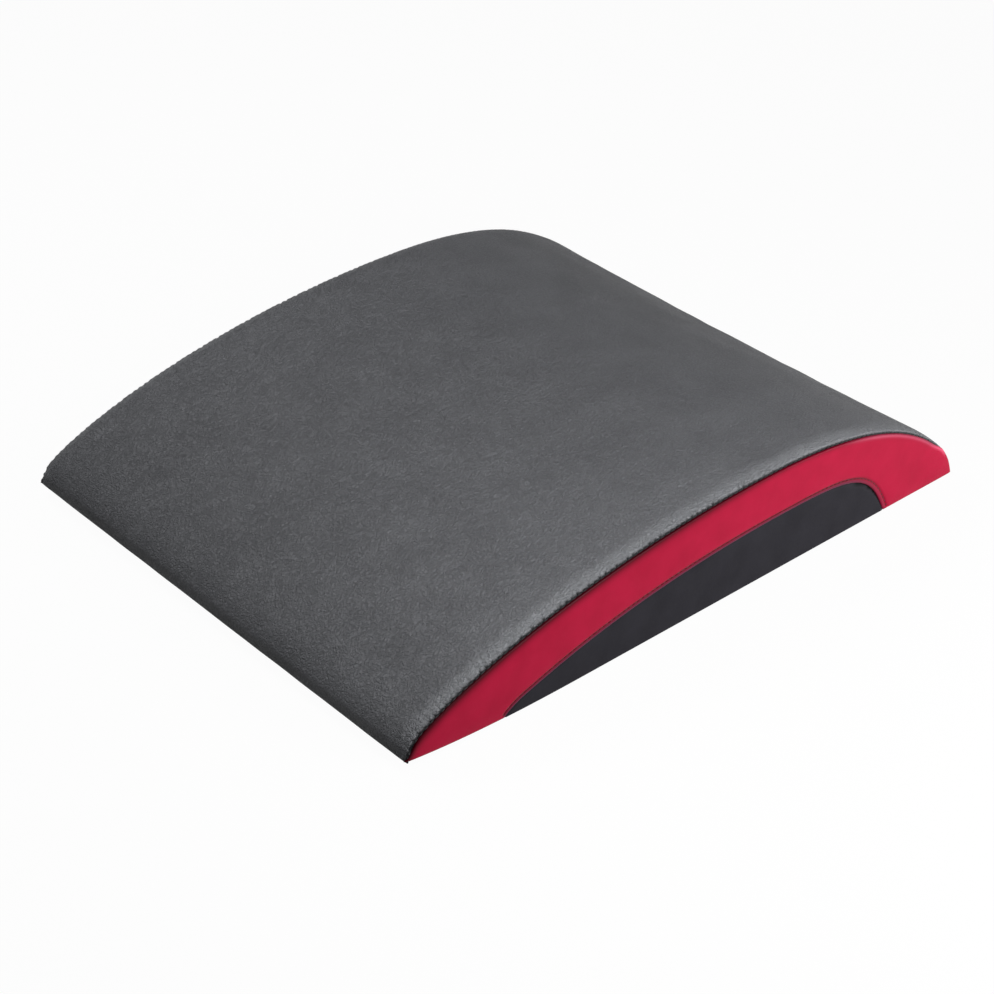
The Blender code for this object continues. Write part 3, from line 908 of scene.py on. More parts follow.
# The pale painted highlight along the dome's edge: its reach, its end before the wall, its strength.
edge_highlight_reach = 0.9 * mm
edge_highlight_end = 8 * mm
edge_highlight_strength = 0.8
from_window = (0, 0.2, 0.45, 0.8, 1.2, 1.6, 1.95, 2.25, 2.5, 2.75, 3.05, 3.4, 3.9, 4.7, 5.9)
from_seam = (0, 0.2, 0.5, 0.9, 1.4, 2.0, 2.8, 4.0, 5.5)
doubled = 0.02 * mm


def rounded(distance, width, depth):
    """How far a rounded edge lies below its face at a distance from the edge."""
    share = np.clip(1 - distance / width, 0, 1)
    return depth * (1 - np.sqrt(1 - share**2))


def give_a_back(sheet, back):
    """Merge doubled corners, then draw the open face back to a flat plane."""
    open_mesh(sheet)
    pick_all()
    bpy.ops.mesh.remove_doubles(threshold=doubled)
    bpy.ops.mesh.normals_make_consistent(inside=False)
    extrude()
    bpy.ops.transform.resize(value=(0, 1, 1), center_override=(back, 0, 0))
    face_outwards()
    close_mesh()


window_steps, seam_steps = np.array(from_window) * mm, np.array(from_seam) * mm
band, from_inside, from_outside = band_between(inner_line, outer_line, window_steps, seam_steps, 9)
window_stations = [stretches[0], len(inner_line) - stretches[-1]]
by_window = np.zeros(len(inner_line))
by_window[slice(*window_stations)] = 1
by_window = by_window[:, None]
reach = from_inside + from_outside
share = from_inside / np.maximum(reach, 1e-9)
station = distances(outer_line)[:, None]
on_dome = eased((station / seam_length - dome_start) / dome_over)
face = half_width + panel_swell * (1 - (2 * share - 1) ** 4) * np.clip(reach / swell_reach, 0, 1)
edge = [low + (high - low) * on_dome for low, high in zip(rolled_edge, rolled_on_dome)]
face -= rounded(from_outside, *edge)
face -= by_window * hump(from_inside, crease_place, crease_width, crease_depth)
face -= rounded(from_inside, *lip_edge)

# Painted shade along the seam beside the top, weaker towards the rear and gone at the wall.
seam_shade_share = 1 - shade_loss * eased((station / seam_length - shade_fades) / fades_over)
seam_shade_share *= eased((seam_length - shade_ends - station) / ends_over)
dark_reach = shade_reach * (0.2 + 0.8 * seam_shade_share)
by_seam = shade_strength * seam_shade_share**0.5 * np.exp(-((from_outside / dark_reach) ** 1.6))
along_window = np.interp(np.arange(len(inner_line)), window_stations, [0, 1])[:, None]
at_rear = eased((along_window - rear_start) / rear_over)
# Painted shade in the window's crease, weaker at the rear end; the darker of it and the seam's is
# kept.
painted_dark = crease_shade - crease_loss * at_rear
painted_shade = by_window * painted_dark * hump(from_inside, crease_place, crease_width, 1.0)
painted_shade = np.maximum(painted_shade, by_seam)
# Painted shade and greyed painted reflection on the lip, weaker at the window's rear end.
lip_shade = by_window * eased((crease_place - crease_width / 2 - from_inside) / lip_fade)
lip_shade = lip_shade * (1 - lip_loss * at_rear)
# A pale painted highlight along the dome's outer edge, ending short of the wall.
painted_edge_highlight = edge_highlight_strength * on_dome * eased((seam_length - station) / edge_highlight_end)
painted_edge_highlight = painted_edge_highlight * hump(from_outside, edge_highlight_reach, edge_highlight_reach, 1.0)

red_right, column, row = grid_sheet("red_side_right", band.shape[0] - 1, band.shape[1] - 1)
write_points(red_right, np.column_stack([face[column, row], band[column, row]]))
# Keep the painted shade, the lip's painted shade and the painted highlight for the finish.
for name, values in (("painted_shade", painted_shade), ("lip", lip_shade), ("painted_edge_highlight", painted_edge_highlight)):
    keep_value(red_right, name, values[column, row])
give_a_back(red_right, panel_back)
print(count_faces(red_right))

# %% Finish both sides
def mirrored(piece, name):
    """The same piece for the left-hand side, with its own mesh."""
    copy = piece.copy()
    copy.data = piece.data.copy()
    copy.name = name
    bpy.context.scene.collection.objects.link(copy)
    copy.scale.x = -1
    settle(copy)
    open_mesh(copy)
    face_outwards()
    close_mesh()
    return copy


def finish_sides(right, name, finish, slot, stands_for):
    """Finish the right-hand sheet, mirror it to the left and hand both over."""
    right.data.shade_smooth()
    right.data.materials.append(finish)
    left = mirrored(right, name)
    for piece, word in ((right, "right"), (left, "left")):
        hand_over(piece, "mat", slot, f"{stands_for}_{word}")


finish_sides(
    red_right, "red_side_left", red_finish, "red_leather", "side_panel"
)

# %% [markdown]
# ## Dark insets
#
# Behind each window lies a crescent of dark leatherette. It reaches 8 mm past the window's edge
# all round, where it is sewn on, and swells in the opening until it is flush with the red. It is
# made by the same three steps as the red side: a band between two lines, a face and a back.

# %% Insets
inset_allowance = 8 * mm
inset_back = 148.05 * mm
inset_face = 148.7 * mm
inset_swell = 1.2 * mm
swell_over = 1.5 * mm
clear_of_floor = 0.05 * mm
inset_stations = 181
inset_steps = np.array([0, 0.4, 1.0, 2.0]) * mm


def evenly(line, count):
    """A line with a number of points at equal distances."""
    return points_at(line, np.linspace(0, distances(line)[-1], count))


arch = window_points(inset_allowance, clear_of_floor)
arch_line = evenly(arch, inset_stations)
bottom = bottom_points(arch[0, 0], arch[-1, 0])
bottom[:, 1] += clear_of_floor
bottom_line = evenly(bottom, inset_stations)
band, from_inside, from_outside = band_between(bottom_line, arch_line, inset_steps, inset_steps, 20)
behind = np.clip((from_outside - inset_allowance - lip_at_rear) / swell_over, 0, 1)
face = inset_face + inset_swell * eased(behind) - rounded(from_inside, 0.4 * mm, 0.2 * mm)

inset_right, column, row = grid_sheet("dark_inset_right", band.shape[0] - 1, band.shape[1] - 1)
write_points(inset_right, np.column_stack([face[column, row], band[column, row]]))
# Painted shade on the inset along the window's edge, where it goes under the red lip.
keep_value(inset_right, "painted_shade", 1 - eased(behind[column, row] / 0.25))
give_a_back(inset_right, inset_back)
finish_sides(
    inset_right, "dark_inset_left", inset_finish, "inset_leather", "side_inset"
)
print(count_faces(inset_right))

# %% [markdown]
# ## Foam
#
# The core is a wedge of dense foam that fills the cover. The solid model gives its form. A copy
# is merged, drawn in a little and remeshed evenly, and then it swells as cloth under a light
# pressure, which rounds its cut edges as the tight cover does. The cap keeps it inside.

# %% Foam wedge
foam_draw = 1.8 * mm
foam_voxel = 6 * mm
foam_cap = 1.2 * mm
foam_bed = 4 * mm
merged = 0.01 * mm

foam = bpy.data.objects.new("foam_wedge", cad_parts["foam_core"].data.copy())
bpy.context.scene.collection.objects.link(foam)
foam.data.materials.clear()
open_mesh(foam)
pick_all()
bpy.ops.mesh.remove_doubles(threshold=merged)
bpy.ops.transform.shrink_fatten(value=-foam_draw)
close_mesh()
remesh = foam.modifiers.new("even_faces", "REMESH")
remesh.mode = "VOXEL"
remesh.voxel_size = foam_voxel
apply_modifiers(foam)
before = read_points(foam)
blow_up(foam, before[:, 2] < floor_height(before[:, 1]) + foam_bed, pressure=4, slack=0)
moved = read_points(foam) - before
length = np.linalg.norm(moved, axis=1)[:, None]
print("foam: swelled", round(float(length.max()) / mm, 2), "mm before the cap")
write_points(foam, before + moved * np.minimum(1, foam_cap / np.maximum(length, 1e-9)))
subdivide(foam)
foam.data.shade_smooth()
hand_over(foam, "mat", "foam", "foam_core")
print(count_faces(foam))


# %% Foam finish
foam_tones = ((0.09, 0.09, 0.10), (0.11, 0.11, 0.12))
pore_size = 0.9 * mm
pore_depth = 0.25 * mm


def foam_finish():
    material, tree, shader = new_finish("foam_pores", 0.95)
    place = here(tree)
    pores = cells(tree, place, pore_size, "F1")
    emboss(tree, shader, span(tree, pores, 0.1, 0.7), pore_depth)
    tone(tree, shader, span(tree, noise(tree, place, 12 * mm, 3), 0.35, 0.65), *foam_tones)
    return material


foam.data.materials.append(foam_finish())
print("foam finish:", foam.data.materials[0].name)

# %% [markdown]
# ## Base sheet
#
# The underside is a tough woven sheet with rows of rubber grip dots, and its rear edge turns up
# the wall as a lip below the zip. The sheet is a grid that is laid along the underside's line
# and given a thickness. It is a little wider before and behind the insets, where it meets the
# sides. The dots stand out to the level that the mat rests on.

# %% The sheet
dot_height = 0.5 * mm
base_sheet = 0.7 * mm
base_start = tip.x + 0.9 * mm
turn_radius = 0.9 * mm
bend_end = 3 * mm


def base_line():
    """The outer line of the base sheet in (y, z), from the thin end round to the lip's top."""
    rest = np.linspace(base_start, foot.x - bend_end, 91)
    points = [Vector((y, float(floor_height(y)) + dot_height)) for y in rest[:-1]]
    last = Vector((rest[-1], dot_height))
    corner = Vector((foot.x, dot_height))
    up = wall_point(bend_end)
    points += curve(last, (corner - last) * 0.7, wall_point(0.9 * mm) - up, up, 8)
    edge = lip_height - turn_radius
    points += [wall_point(up) for up in np.linspace(bend_end, edge, 5)[:-1]]
    for angle in np.linspace(0, pi / 2, 6):
        points.append(wall_point(edge + turn_radius * sin(angle), turn_radius * (cos(angle) - 1)))
    return np.array(points)


under = base_line()
base_columns = 40
base_half_width = 147.9 * mm
base_half_at_ends = 148.7 * mm
before_inset = under[:, 0] < bottom_line[0, 0] - 1 * mm
behind_inset = under[:, 0] > bottom_line[-1, 0] + 1 * mm
half_widths = np.where(before_inset | behind_inset, base_half_at_ends, base_half_width)
base, column, row = grid_sheet("grip_base", base_columns, len(under) - 1)
base_across = np.linspace(-1, 1, base_columns + 1)
write_points(base, np.column_stack([base_across[column] * half_widths[row], under[row]]))
thicken(base, base_sheet, 1)
base.data.shade_smooth()
hand_over(base, "mat", "grip_fabric", "base_panel")


# %% [markdown]
# One dot is modelled and copied. It starts as a short cylinder, and its cap is inset and pushed
# out, so that it has a soft shoulder. Every other row is shifted by half a pitch.

# %% Grip dots
def standing(place, along, away):
    """A matrix that lays a model's x along one direction and its z along another."""
    away = Vector(away).normalized()
    along = Vector(along)
    along = (along - away * along.dot(away)).normalized()
    turned = Matrix((along, away.cross(along), away)).transposed().to_4x4()
    turned.translation = place
    return turned


def repeated(name, model, places):
    """One piece made of copies of a model, each with its own corners and its own place."""
    points = read_points(model)
    faces = [tuple(face.vertices) for face in model.data.polygons]
    corners = []
    loops = []
    for number, place in enumerate(places):
        turn = np.array(place.to_3x3())
        corners.append(points @ turn.T + np.array(place.translation))
        loops += [tuple(corner + number * len(points) for corner in face) for face in faces]
    mesh = bpy.data.meshes.new(name)
    mesh.from_pydata(np.concatenate(corners), [], loops)
    mesh.shade_smooth()
    piece = bpy.data.objects.new(name, mesh)
    bpy.context.scene.collection.objects.link(piece)
    return piece


dot_radius = 2.1 * mm
dot_pitch = 12 * mm
dot_bed = 0.15 * mm
dot_shoulder = 0.5 * mm
row_pitch = dot_pitch * 0.866
dots_front = -184 * mm
dots_rear = 190 * mm
dots_side = 138 * mm
close = 0.01 * mm

dot = added(
    bpy.ops.mesh.primitive_cylinder_add,
    vertices=12,
    radius=dot_radius,
    depth=dot_height,
    location=(0, 0, dot_height / 2 - dot_bed),
)
open_mesh(dot)
pick("faces", lambda middle: middle.z > dot_height - dot_bed - close)
bpy.ops.mesh.inset(thickness=dot_shoulder, depth=dot_bed)
close_mesh()
dot_places = []
for number, y in enumerate(np.arange(dots_front, dots_rear, row_pitch)):
    start = dot_pitch / 2 * (number % 2) - dots_side
    drop = float(floor_height(y - 1 * mm) - floor_height(y + 1 * mm)) / (2 * mm)
    for x in np.arange(start, dots_side + 1 * mm, dot_pitch):
        place = (x, y, float(floor_height(y)) + dot_height)
        dot_places.append(standing(place, (1, 0, 0), (0, -drop, -1)))
dots = repeated("grip_dots", dot, dot_places)
bpy.data.objects.remove(dot)
hand_over(dots, "mat", "grip_fabric")
print(count_faces(dots), "in", len(dot_places), "dots")


# %% [markdown]
# A woven sheet shows its threads as two sets of fine ridges at right angles. Two wave patterns
# are laid over each other and the higher one is kept, which is what crossing threads look like.

# %% Woven finishes and rubber
grip_tones = ((0.016, 0.016, 0.018), (0.030, 0.030, 0.032))
rubber_tones = ((0.018, 0.018, 0.019), (0.028, 0.028, 0.030))
grip_thread = 0.9 * mm
wave_factor = 20


def ridges(tree, place, pitch, direction, **sockets):
    """Fine ridges at a pitch; the texture takes the sine of its factor times scale and place."""
    made = node(
        tree,
        "ShaderNodeTexWave",
        {"bands_direction": direction},
        Vector=place,
        Scale=2 * pi / (wave_factor * pitch),
        **sockets,
    )
    return made.outputs["Fac"]


def weave(tree, place, pitch):
    """Two sets of ridges at right angles; the higher of the two shows."""
    sets = [ridges(tree, place, pitch, way, Distortion=0.6, Detail=1.0) for way in ("X", "Y")]
    return sums(tree, "MAXIMUM", *sets)


def woven(name, deep, light, pitch, tilt=0.0):
    material, tree, shader = new_finish(name, 0.85)
    turned = node(tree, "ShaderNodeMapping", Vector=here(tree), Rotation=(tilt, 0, 0))
    threads = weave(tree, turned.outputs["Vector"], pitch)
    emboss(tree, shader, threads, 0.5 * pitch)
    # The colour follows the threads in soft patches: painted shade between them, lighter on their
    # tops.
    worn = sums(tree, "MULTIPLY", threads, noise(tree, here(tree), 15 * mm, 3))
    tone(tree, shader, span(tree, worn, 0.2, 0.7), deep, light)
    shader.inputs["Sheen Weight"].default_value = 0.15
    shader.inputs["Specular IOR Level"].default_value = 0.2
    return material


def rubber():
    material, tree, shader = new_finish("grip_rubber", 0.6)
    emboss(tree, shader, noise(tree, here(tree), 0.4 * mm, 2), 0.04 * mm)
    shade = span(tree, noise(tree, here(tree), 20 * mm, 2), 0.3, 0.7)
    tone(tree, shader, shade, *rubber_tones)
    return material


base.data.materials.append(woven("woven_base", *grip_tones, grip_thread))
dots.data.materials.append(rubber())
print("finishes:", base.data.materials[0].name, dots.data.materials[0].name)

# %% [markdown]
# ## Stitches
#
# A sewing machine leaves a row of equal stitches: each is a few millimetres of thread that comes
# up through the sheet, lies on it and dives again. One stitch is drawn out from a sphere and
# bowed, and it is copied along every seam.

# %% One stitch
thread_radius = 0.35 * mm
stitch_length = 2.9 * mm
stitch_bow = 0.35 * mm
half_run = stitch_length / 2 - thread_radius
inner_ring, outer_ring = 0.3 * thread_radius, 0.7 * thread_radius
shoulder_run = 0.55 * half_run
shoulder_bow = 0.2 * stitch_bow
shoulder_swell = 1.15

stitch = added(
    bpy.ops.mesh.primitive_uv_sphere_add,
    segments=8,
    ring_count=6,
    radius=thread_radius,
    rotation=(0, pi / 2, 0),
)
open_mesh(stitch)
for side in (-1, 1):
    pick("verts", lambda place: place.x * side > outer_ring)
    bpy.ops.transform.translate(value=(side * half_run, 0, -stitch_bow))
    pick("verts", lambda place: inner_ring < place.x * side < outer_ring)
    bpy.ops.transform.translate(value=(side * shoulder_run, 0, -shoulder_bow))
    bpy.ops.transform.resize(
        value=(1, shoulder_swell, shoulder_swell), center_override=(0, 0, -shoulder_bow)
    )
close_mesh()
print("stitch:", len(stitch.data.polygons), "faces")


# %% Rows of stitches
twist_pitch = 0.45 * mm
twist_depth = 0.08 * mm


def row_on_side(line, side, x, pitch, facing, start=0.5, scale=1.0):
    """Stitch places along a line in (y, z), on the right (1) or left (-1) side of the mat."""
    length = distances(line)[-1]
    count = round(length / pitch)
    places = np.arange(start, count) * length / count
    middle = points_at(line, places)
    ahead = points_at(line, places + 0.3 * mm) - points_at(line, places - 0.3 * mm)
    found = []
    for (y, z), (run_y, run_z) in zip(middle, ahead):
        up = Vector((-run_z, run_y)).normalized()
        away = (side * cos(facing), up.x * sin(facing), up.y * sin(facing))
        found.append(standing((side * x, y, z), (0, run_y, run_z), away) @ Matrix.Scale(scale, 4))
    return found


def row_across(place, away, pitch, reach):
    """Stitch places along x at one point in (y, z)."""
    count = int(2 * reach / pitch)
    middles = (np.arange(count) + 0.5) * 2 * reach / count - reach
    return [standing((x, *place), (1, 0, 0), (0, *away)) for x in middles]


def sew(name, places, node_name, finish):
    made = repeated(name, stitch, places)
    made.data.materials.append(finish)
    hand_over(made, "mat", "thread", node_name)
    print(count_faces(made), "in", len(places), "stitches")


def thread_finish(name, colour):
    """Twisted thread: slanting ridges, with painted shade between them."""
    material, tree, shader = new_finish(name, 0.65)
    twist = ridges(tree, here(tree), twist_pitch, "DIAGONAL")
    emboss(tree, shader, twist, twist_depth)
    tone(tree, shader, twist, tuple(0.6 * value for value in colour), colour)
    shader.inputs["Specular IOR Level"].default_value = 0.3
    return material


hem_pitch = 3.7 * mm
inset_pitch = 3.3 * mm
thread_bed = 0.1 * mm
ditch_side = 148.55 * mm
crease_side = 149.7 * mm
hem_side = 146.2 * mm
hem_reach = 146 * mm
black_thread = thread_finish("black_thread", (0.020, 0.020, 0.022))
red_thread = thread_finish("red_thread", (0.070, 0.003, 0.010))
ditch_line = seam - outward(seam) * 1.0 * mm
crease_line = lip + outward(lip) * crease_place
crease_line = crease_line[crease_line[:, 1] > floor_height(crease_line[:, 0]) + 0.6 * mm]
hem_line = bottom_points(base_start + 3 * mm, foot.x - 3 * mm)
hem_line[:, 1] += dot_height + thread_bed
for side, word in ((1, "right"), (-1, "left")):
    rows = row_on_side(ditch_line, side, ditch_side, seam_length / tucks, radians(35), 1, 1.15)
    sew(f"top_stitches_{word}", rows, f"top_seam_thread_{word}", black_thread)
    rows = row_on_side(crease_line, side, crease_side, inset_pitch, 0)
    sew(f"inset_stitches_{word}", rows, f"inset_seam_thread_{word}", red_thread)
    rows = row_on_side(hem_line, side, hem_side, hem_pitch, radians(-90))
    sew(f"base_stitches_{word}", rows, f"base_seam_thread_{word}", black_thread)
front_y = base_start + 1.6 * mm
front_place = (front_y, float(floor_height(front_y)) + dot_height)
rows = row_across(front_place, (0, -1), hem_pitch, hem_reach)
sew("front_stitches", rows, "front_seam_thread", black_thread)

# %% [markdown]
# ## Zip
#
# The zip lies across the rear wall between the top's hem and the base's lip: two woven tapes
# with a corded edge, a row of moulded teeth on each, stops at the ends, a slider and its pull.
# It is modelled flat, in a frame of its own, and then laid on the sloping wall.

# %% Zip frame and tapes
zip_line = 12.5 * mm
chain_depth = 1.8 * mm
bead_inner = 1.4 * mm
bead_outer = 2.6 * mm
chain_thickness = 2.2 * mm
tape_width = 5.4 * mm
tape_thickness = 0.6 * mm
zip_half = 148.6 * mm
cord_steps = ((0.1, 2.6), (0.3, 1.3), (0.4, 1.0), (0.3, 0.77), (0.1, 0.5))
twill_tones = ((0.012, 0.012, 0.014), (0.026, 0.026, 0.029))
twill_thread = 0.7 * mm
zip_origin = wall_point(zip_line, -chain_depth)
facing_back = Matrix.Rotation(pi, 4, "Z") @ Matrix.Rotation(wall_slope, 4, "X")
on_wall = Matrix.Translation((0, *zip_origin)) @ facing_back


def block(middle, size):
    """A box to start a model from."""
    return added(bpy.ops.mesh.primitive_cube_add, size=1, location=middle, scale=size)


def bevel(size, segments, clamp=False):
    bpy.ops.mesh.bevel(offset=size, segments=segments, affect="EDGES", clamp_overlap=clamp)


def lay_on_wall(piece, turned=False, place=(0, 0, 0)):
    """Put a piece that was modelled flat on the wall; the lower half is turned over."""
    turn = Matrix.Rotation(pi if turned else 0, 4, "X")
    piece.matrix_world = on_wall @ Matrix.Translation(place) @ turn
    settle(piece)


def model_tape():
    """One tape, x along the zip, y away from the chain, with a corded edge at the chain."""
    middle = bead_outer + tape_width / 2
    tape = block((0, middle, 0), (2 * zip_half, tape_width, tape_thickness))
    open_mesh(tape)
    pick("faces", lambda place: place.y < bead_outer + close)
    for run, thicker in cord_steps:
        extrude(y=-run * mm)
        bpy.ops.transform.resize(value=(1, 1, thicker))
    close_mesh()
    return tape


twill = woven("zip_twill", *twill_tones, twill_thread, tilt=wall_slope)
for turned, word in ((False, "upper"), (True, "lower")):
    tape = model_tape()
    tape.name = f"zip_cloth_{word}"
    lay_on_wall(tape, turned)
    tape.data.shade_smooth()
    tape.data.set_sharp_from_angle(angle=radians(50))
    tape.data.materials.append(twill)
    hand_over(tape, "mat", "zip_tape", f"zip_tape_{word}")
    print(count_faces(tape))

# %% [markdown]
# One tooth is modelled and copied. A cube is drawn out over the cord as a clamp, its neck is
# drawn in and its head widened, and all its edges are rounded. The teeth of the two tapes stand
# half a pitch apart, so that they mesh.

# %% Teeth
tooth_pitch = 3.0 * mm
tooth_half = 0.85 * mm
clamp_overlap = 0.2 * mm
clamp_thickness = chain_thickness + 0.3 * mm
tooth_edge = 0.12 * mm
tooth_steps = ((0.3, 0.5, 0.85), (0.8, 1.0, 1.0), (0.5, 1.4, 1.0), (0.5, 0.95, 1.0), (0.2, 0.6, 0.8))
chain_half = 130 * mm


def model_tooth():
    """A clamp over the cord, then a neck and a head that are drawn out in steps."""
    clamp = bead_outer - bead_inner + 2 * clamp_overlap
    front = bead_inner - clamp_overlap
    tooth = block((0, front + clamp / 2, 0), (2 * tooth_half, clamp, clamp_thickness))
    open_mesh(tooth)
    pick("faces", lambda place: place.y < front + close)
    for run, wider, thicker in tooth_steps:
        extrude(y=-run * mm)
        bpy.ops.transform.resize(value=(wider, 1, thicker))
    pick_all()
    bevel(tooth_edge, 1, clamp=True)
    close_mesh()
    return tooth


tooth = model_tooth()
tooth_count = int(2 * chain_half / tooth_pitch) - 1
for side, word in ((1, "upper"), (-1, "lower")):
    first = tooth_pitch * (1 / 2 + side / 4) - chain_half
    run = side * (first + tooth_pitch * np.arange(tooth_count))
    teeth = repeated(f"zip_teeth_{word}", tooth, [Matrix.Translation((x, 0, 0)) for x in run])
    lay_on_wall(teeth, turned=side < 0)
    hand_over(teeth, "mat", "zip_tape")
    print(count_faces(teeth))
bpy.data.objects.remove(tooth)

# %% [markdown]
# Each tape is sewn to its sheet with a row of stitches. The teeth are moulded plastic with a
# faint grain. The slider, its pull and the stops are painted metal, smooth and with a little
# bare metal where they rub.

# %% Painted metal and moulded teeth
metal_tones = ((0.040, 0.040, 0.043), (0.075, 0.075, 0.080))
teeth_tones = ((0.020, 0.020, 0.022), (0.034, 0.034, 0.037))
stitch_set_back = 6.1 * mm
zip_stitch_pitch = 3.2 * mm


def painted_metal():
    material, tree, shader = new_finish("painted_metal", 0.38)
    place = here(tree)
    rub = span(tree, noise(tree, place, 3 * mm, 4), 0.56, 0.72)
    tone(tree, shader, rub, *metal_tones)
    feed(shader, "Metallic", span(tree, rub, 0, 1, 0.45, 0.8))
    feed(shader, "Roughness", span(tree, rub, 0, 1, 0.42, 0.3))
    emboss(tree, shader, noise(tree, place, 0.5 * mm, 2), 0.02 * mm)
    return material


def moulded():
    material, tree, shader = new_finish("moulded_teeth", 0.5)
    place = here(tree)
    tone(tree, shader, span(tree, noise(tree, place, 8 * mm, 3), 0.35, 0.65), *teeth_tones)
    emboss(tree, shader, noise(tree, place, 0.4 * mm, 1), 0.02 * mm)
    return material


for up, word in ((zip_line + stitch_set_back, "upper"), (zip_line - stitch_set_back, "lower")):
    rows = row_across(wall_point(up, thread_bed), out_of_wall, zip_stitch_pitch, hem_reach)
    sew(f"zip_stitches_{word}", rows, f"zip_seam_thread_{word}", black_thread)
bpy.data.objects.remove(stitch)

metal = painted_metal()
teeth_finish = moulded()
for word in ("upper", "lower"):
    bpy.data.objects[f"zip_teeth_{word}"].data.materials.append(teeth_finish)
for name in ("zip_top_stop_upper", "zip_top_stop_lower", "zip_bottom_stop"):
    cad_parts[name].data.materials[0] = metal
print("finishes:", metal.name, teeth_finish.name)

# %% [markdown]
# A slider is cast in one go: two wings with turned-in edges hold the teeth between them, a neck
# at the head joins the wings, and a bridge on the front wing holds the pull. It starts as one
# wing, which is doubled; the neck and the bridge then grow from patches that are cut into it.

# %% Slider
slider_length = 11 * mm
slider_half = 3.7 * mm
slider_corner = 1.0 * mm
flange = 0.8 * mm
wing_inner = 1.4 * mm
wing_outer = 2.4 * mm
tape_gap = 0.6 * mm
bridge_reach = 3.2 * mm
bridge_wall = 0.8 * mm
bridge_half = 0.7 * mm
bridge_under = 4.2 * mm
bridge_corner = 0.7 * mm
neck_from = -5.2 * mm
neck_to = -3.7 * mm
neck_half = 1.1 * mm
slider_edge = 0.12 * mm
slider_x = -126.6 * mm


def at(value, size):
    """Whether a coordinate has this size, on either side of the middle."""
    return abs(abs(value) - size) < close


def cut(axis, *places):
    """Cut the whole open mesh with planes across an axis, so that patches can be picked."""
    for place in places:
        point = [0, 0, 0]
        normal = [0, 0, 0]
        point[axis] = place
        normal[axis] = 1
        pick_all()
        bpy.ops.mesh.bisect(plane_co=point, plane_no=normal)


def round_edges(size):
    """Merge flat faces again and round every edge that is left."""
    pick_all()
    bpy.ops.mesh.dissolve_limited(angle_limit=radians(1))
    pick_all()
    bevel(size, 2, clamp=True)
    face_outwards()


def model_wings():
    """The front wing with turned-in edges, and its mirror image behind it."""
    thick = wing_outer - wing_inner
    body = block((0, 0, wing_inner + thick / 2), (slider_length, 2 * slider_half, thick))
    open_mesh(body)
    pick("edges", lambda place: at(place.x, slider_length / 2) and at(place.y, slider_half))
    bevel(slider_corner, 3)
    cut(1, slider_half - flange, flange - slider_half)
    turned_in = slider_half - flange
    pick("faces", lambda place: place.z < wing_inner + close and abs(place.y) > turned_in)
    extrude(z=tape_gap - wing_inner)
    pick_all()
    bpy.ops.mesh.duplicate_move()
    bpy.ops.transform.resize(value=(1, 1, -1), center_override=(0, 0, 0))
    face_outwards()
    return body


def add_neck():
    """Join the wings at the head."""
    pick("faces", lambda place: neck_from < place.x < neck_to and abs(place.y) < neck_half
         and at(place.z, wing_inner))
    bpy.ops.mesh.bridge_edge_loops()


def add_bridge():
    """Raise two posts on the front wing, join them and round the bridge's shoulders."""
    post = bridge_reach - bridge_wall / 2
    pick("faces", lambda place: abs(abs(place.x) - post) < bridge_wall / 2
         and abs(place.y) < bridge_half and place.z > wing_outer - close)
    extrude(z=bridge_under - wing_outer)
    extrude(z=bridge_wall)
    pick("faces", lambda place: at(place.x, bridge_reach - bridge_wall) and place.z > bridge_under)
    bpy.ops.mesh.bridge_edge_loops()
    top = bridge_under + bridge_wall
    pick("edges", lambda place: at(place.x, bridge_reach) and place.z > top - close)
    bevel(bridge_corner, 3)


def model_slider():
    body = model_wings()
    posts = (-bridge_reach, bridge_wall - bridge_reach, bridge_reach - bridge_wall, bridge_reach)
    cut(0, neck_from, neck_to, *posts)
    cut(1, -neck_half, neck_half, -bridge_half, bridge_half)
    add_neck()
    add_bridge()
    round_edges(slider_edge)
    close_mesh()
    body.name = "slider_body"
    return body


slider = model_slider()
lay_on_wall(slider, place=(slider_x, 0, 0))
print(count_faces(slider))

# %% [markdown]
# The pull is stamped from plate. Its grip is a box with a sunk panel on each face; the plate
# narrows to two arms, and a cross bar between their ends turns under the slider's bridge.

# %% Pull
pull_end = 20 * mm
pull_half = 3.3 * mm
pull_thick = 1.0 * mm
pull_corner = 1.6 * mm
pull_edge = 0.15 * mm
arm_outer = 2.3 * mm
arm_inner = 1.1 * mm
hole_end = 4.4 * mm
grip_start = 5.6 * mm
grip_full = 8.9 * mm
grip_rim = 0.8 * mm
grip_slope = 0.25 * mm
grip_sunk = 0.2 * mm
bar_half = 0.5 * mm
pull_out = wing_outer + 0.4 * mm + bar_half


def model_pull():
    middle = ((grip_full + pull_end) / 2, 0, 0)
    tab = block(middle, (pull_end - grip_full, 2 * pull_half, pull_thick))
    open_mesh(tab)
    pick("faces", lambda place: place.x < grip_full + close)
    extrude(x=grip_start - grip_full)
    bpy.ops.transform.resize(value=(1, arm_outer / pull_half, 1))
    extrude(x=hole_end - grip_start)
    cut(1, -arm_inner, arm_inner)
    pick("faces", lambda place: place.x < hole_end + close and abs(place.y) > arm_inner)
    extrude(x=bar_half - hole_end)
    extrude(x=-2 * bar_half)
    pick("faces", lambda place: at(place.y, arm_inner) and abs(place.x) < bar_half)
    bpy.ops.mesh.bridge_edge_loops()
    pick("edges", lambda place: place.x > pull_end - close and abs(place.y) > pull_half - close)
    bevel(pull_corner, 4)
    round_edges(pull_edge)
    pick("faces", lambda place: at(place.z, pull_thick / 2) and place.x > grip_start)
    bpy.ops.mesh.inset(thickness=grip_rim, depth=0)
    bpy.ops.mesh.inset(thickness=grip_slope, depth=-grip_sunk)
    close_mesh()
    tab.name = "pull_tab"
    return tab


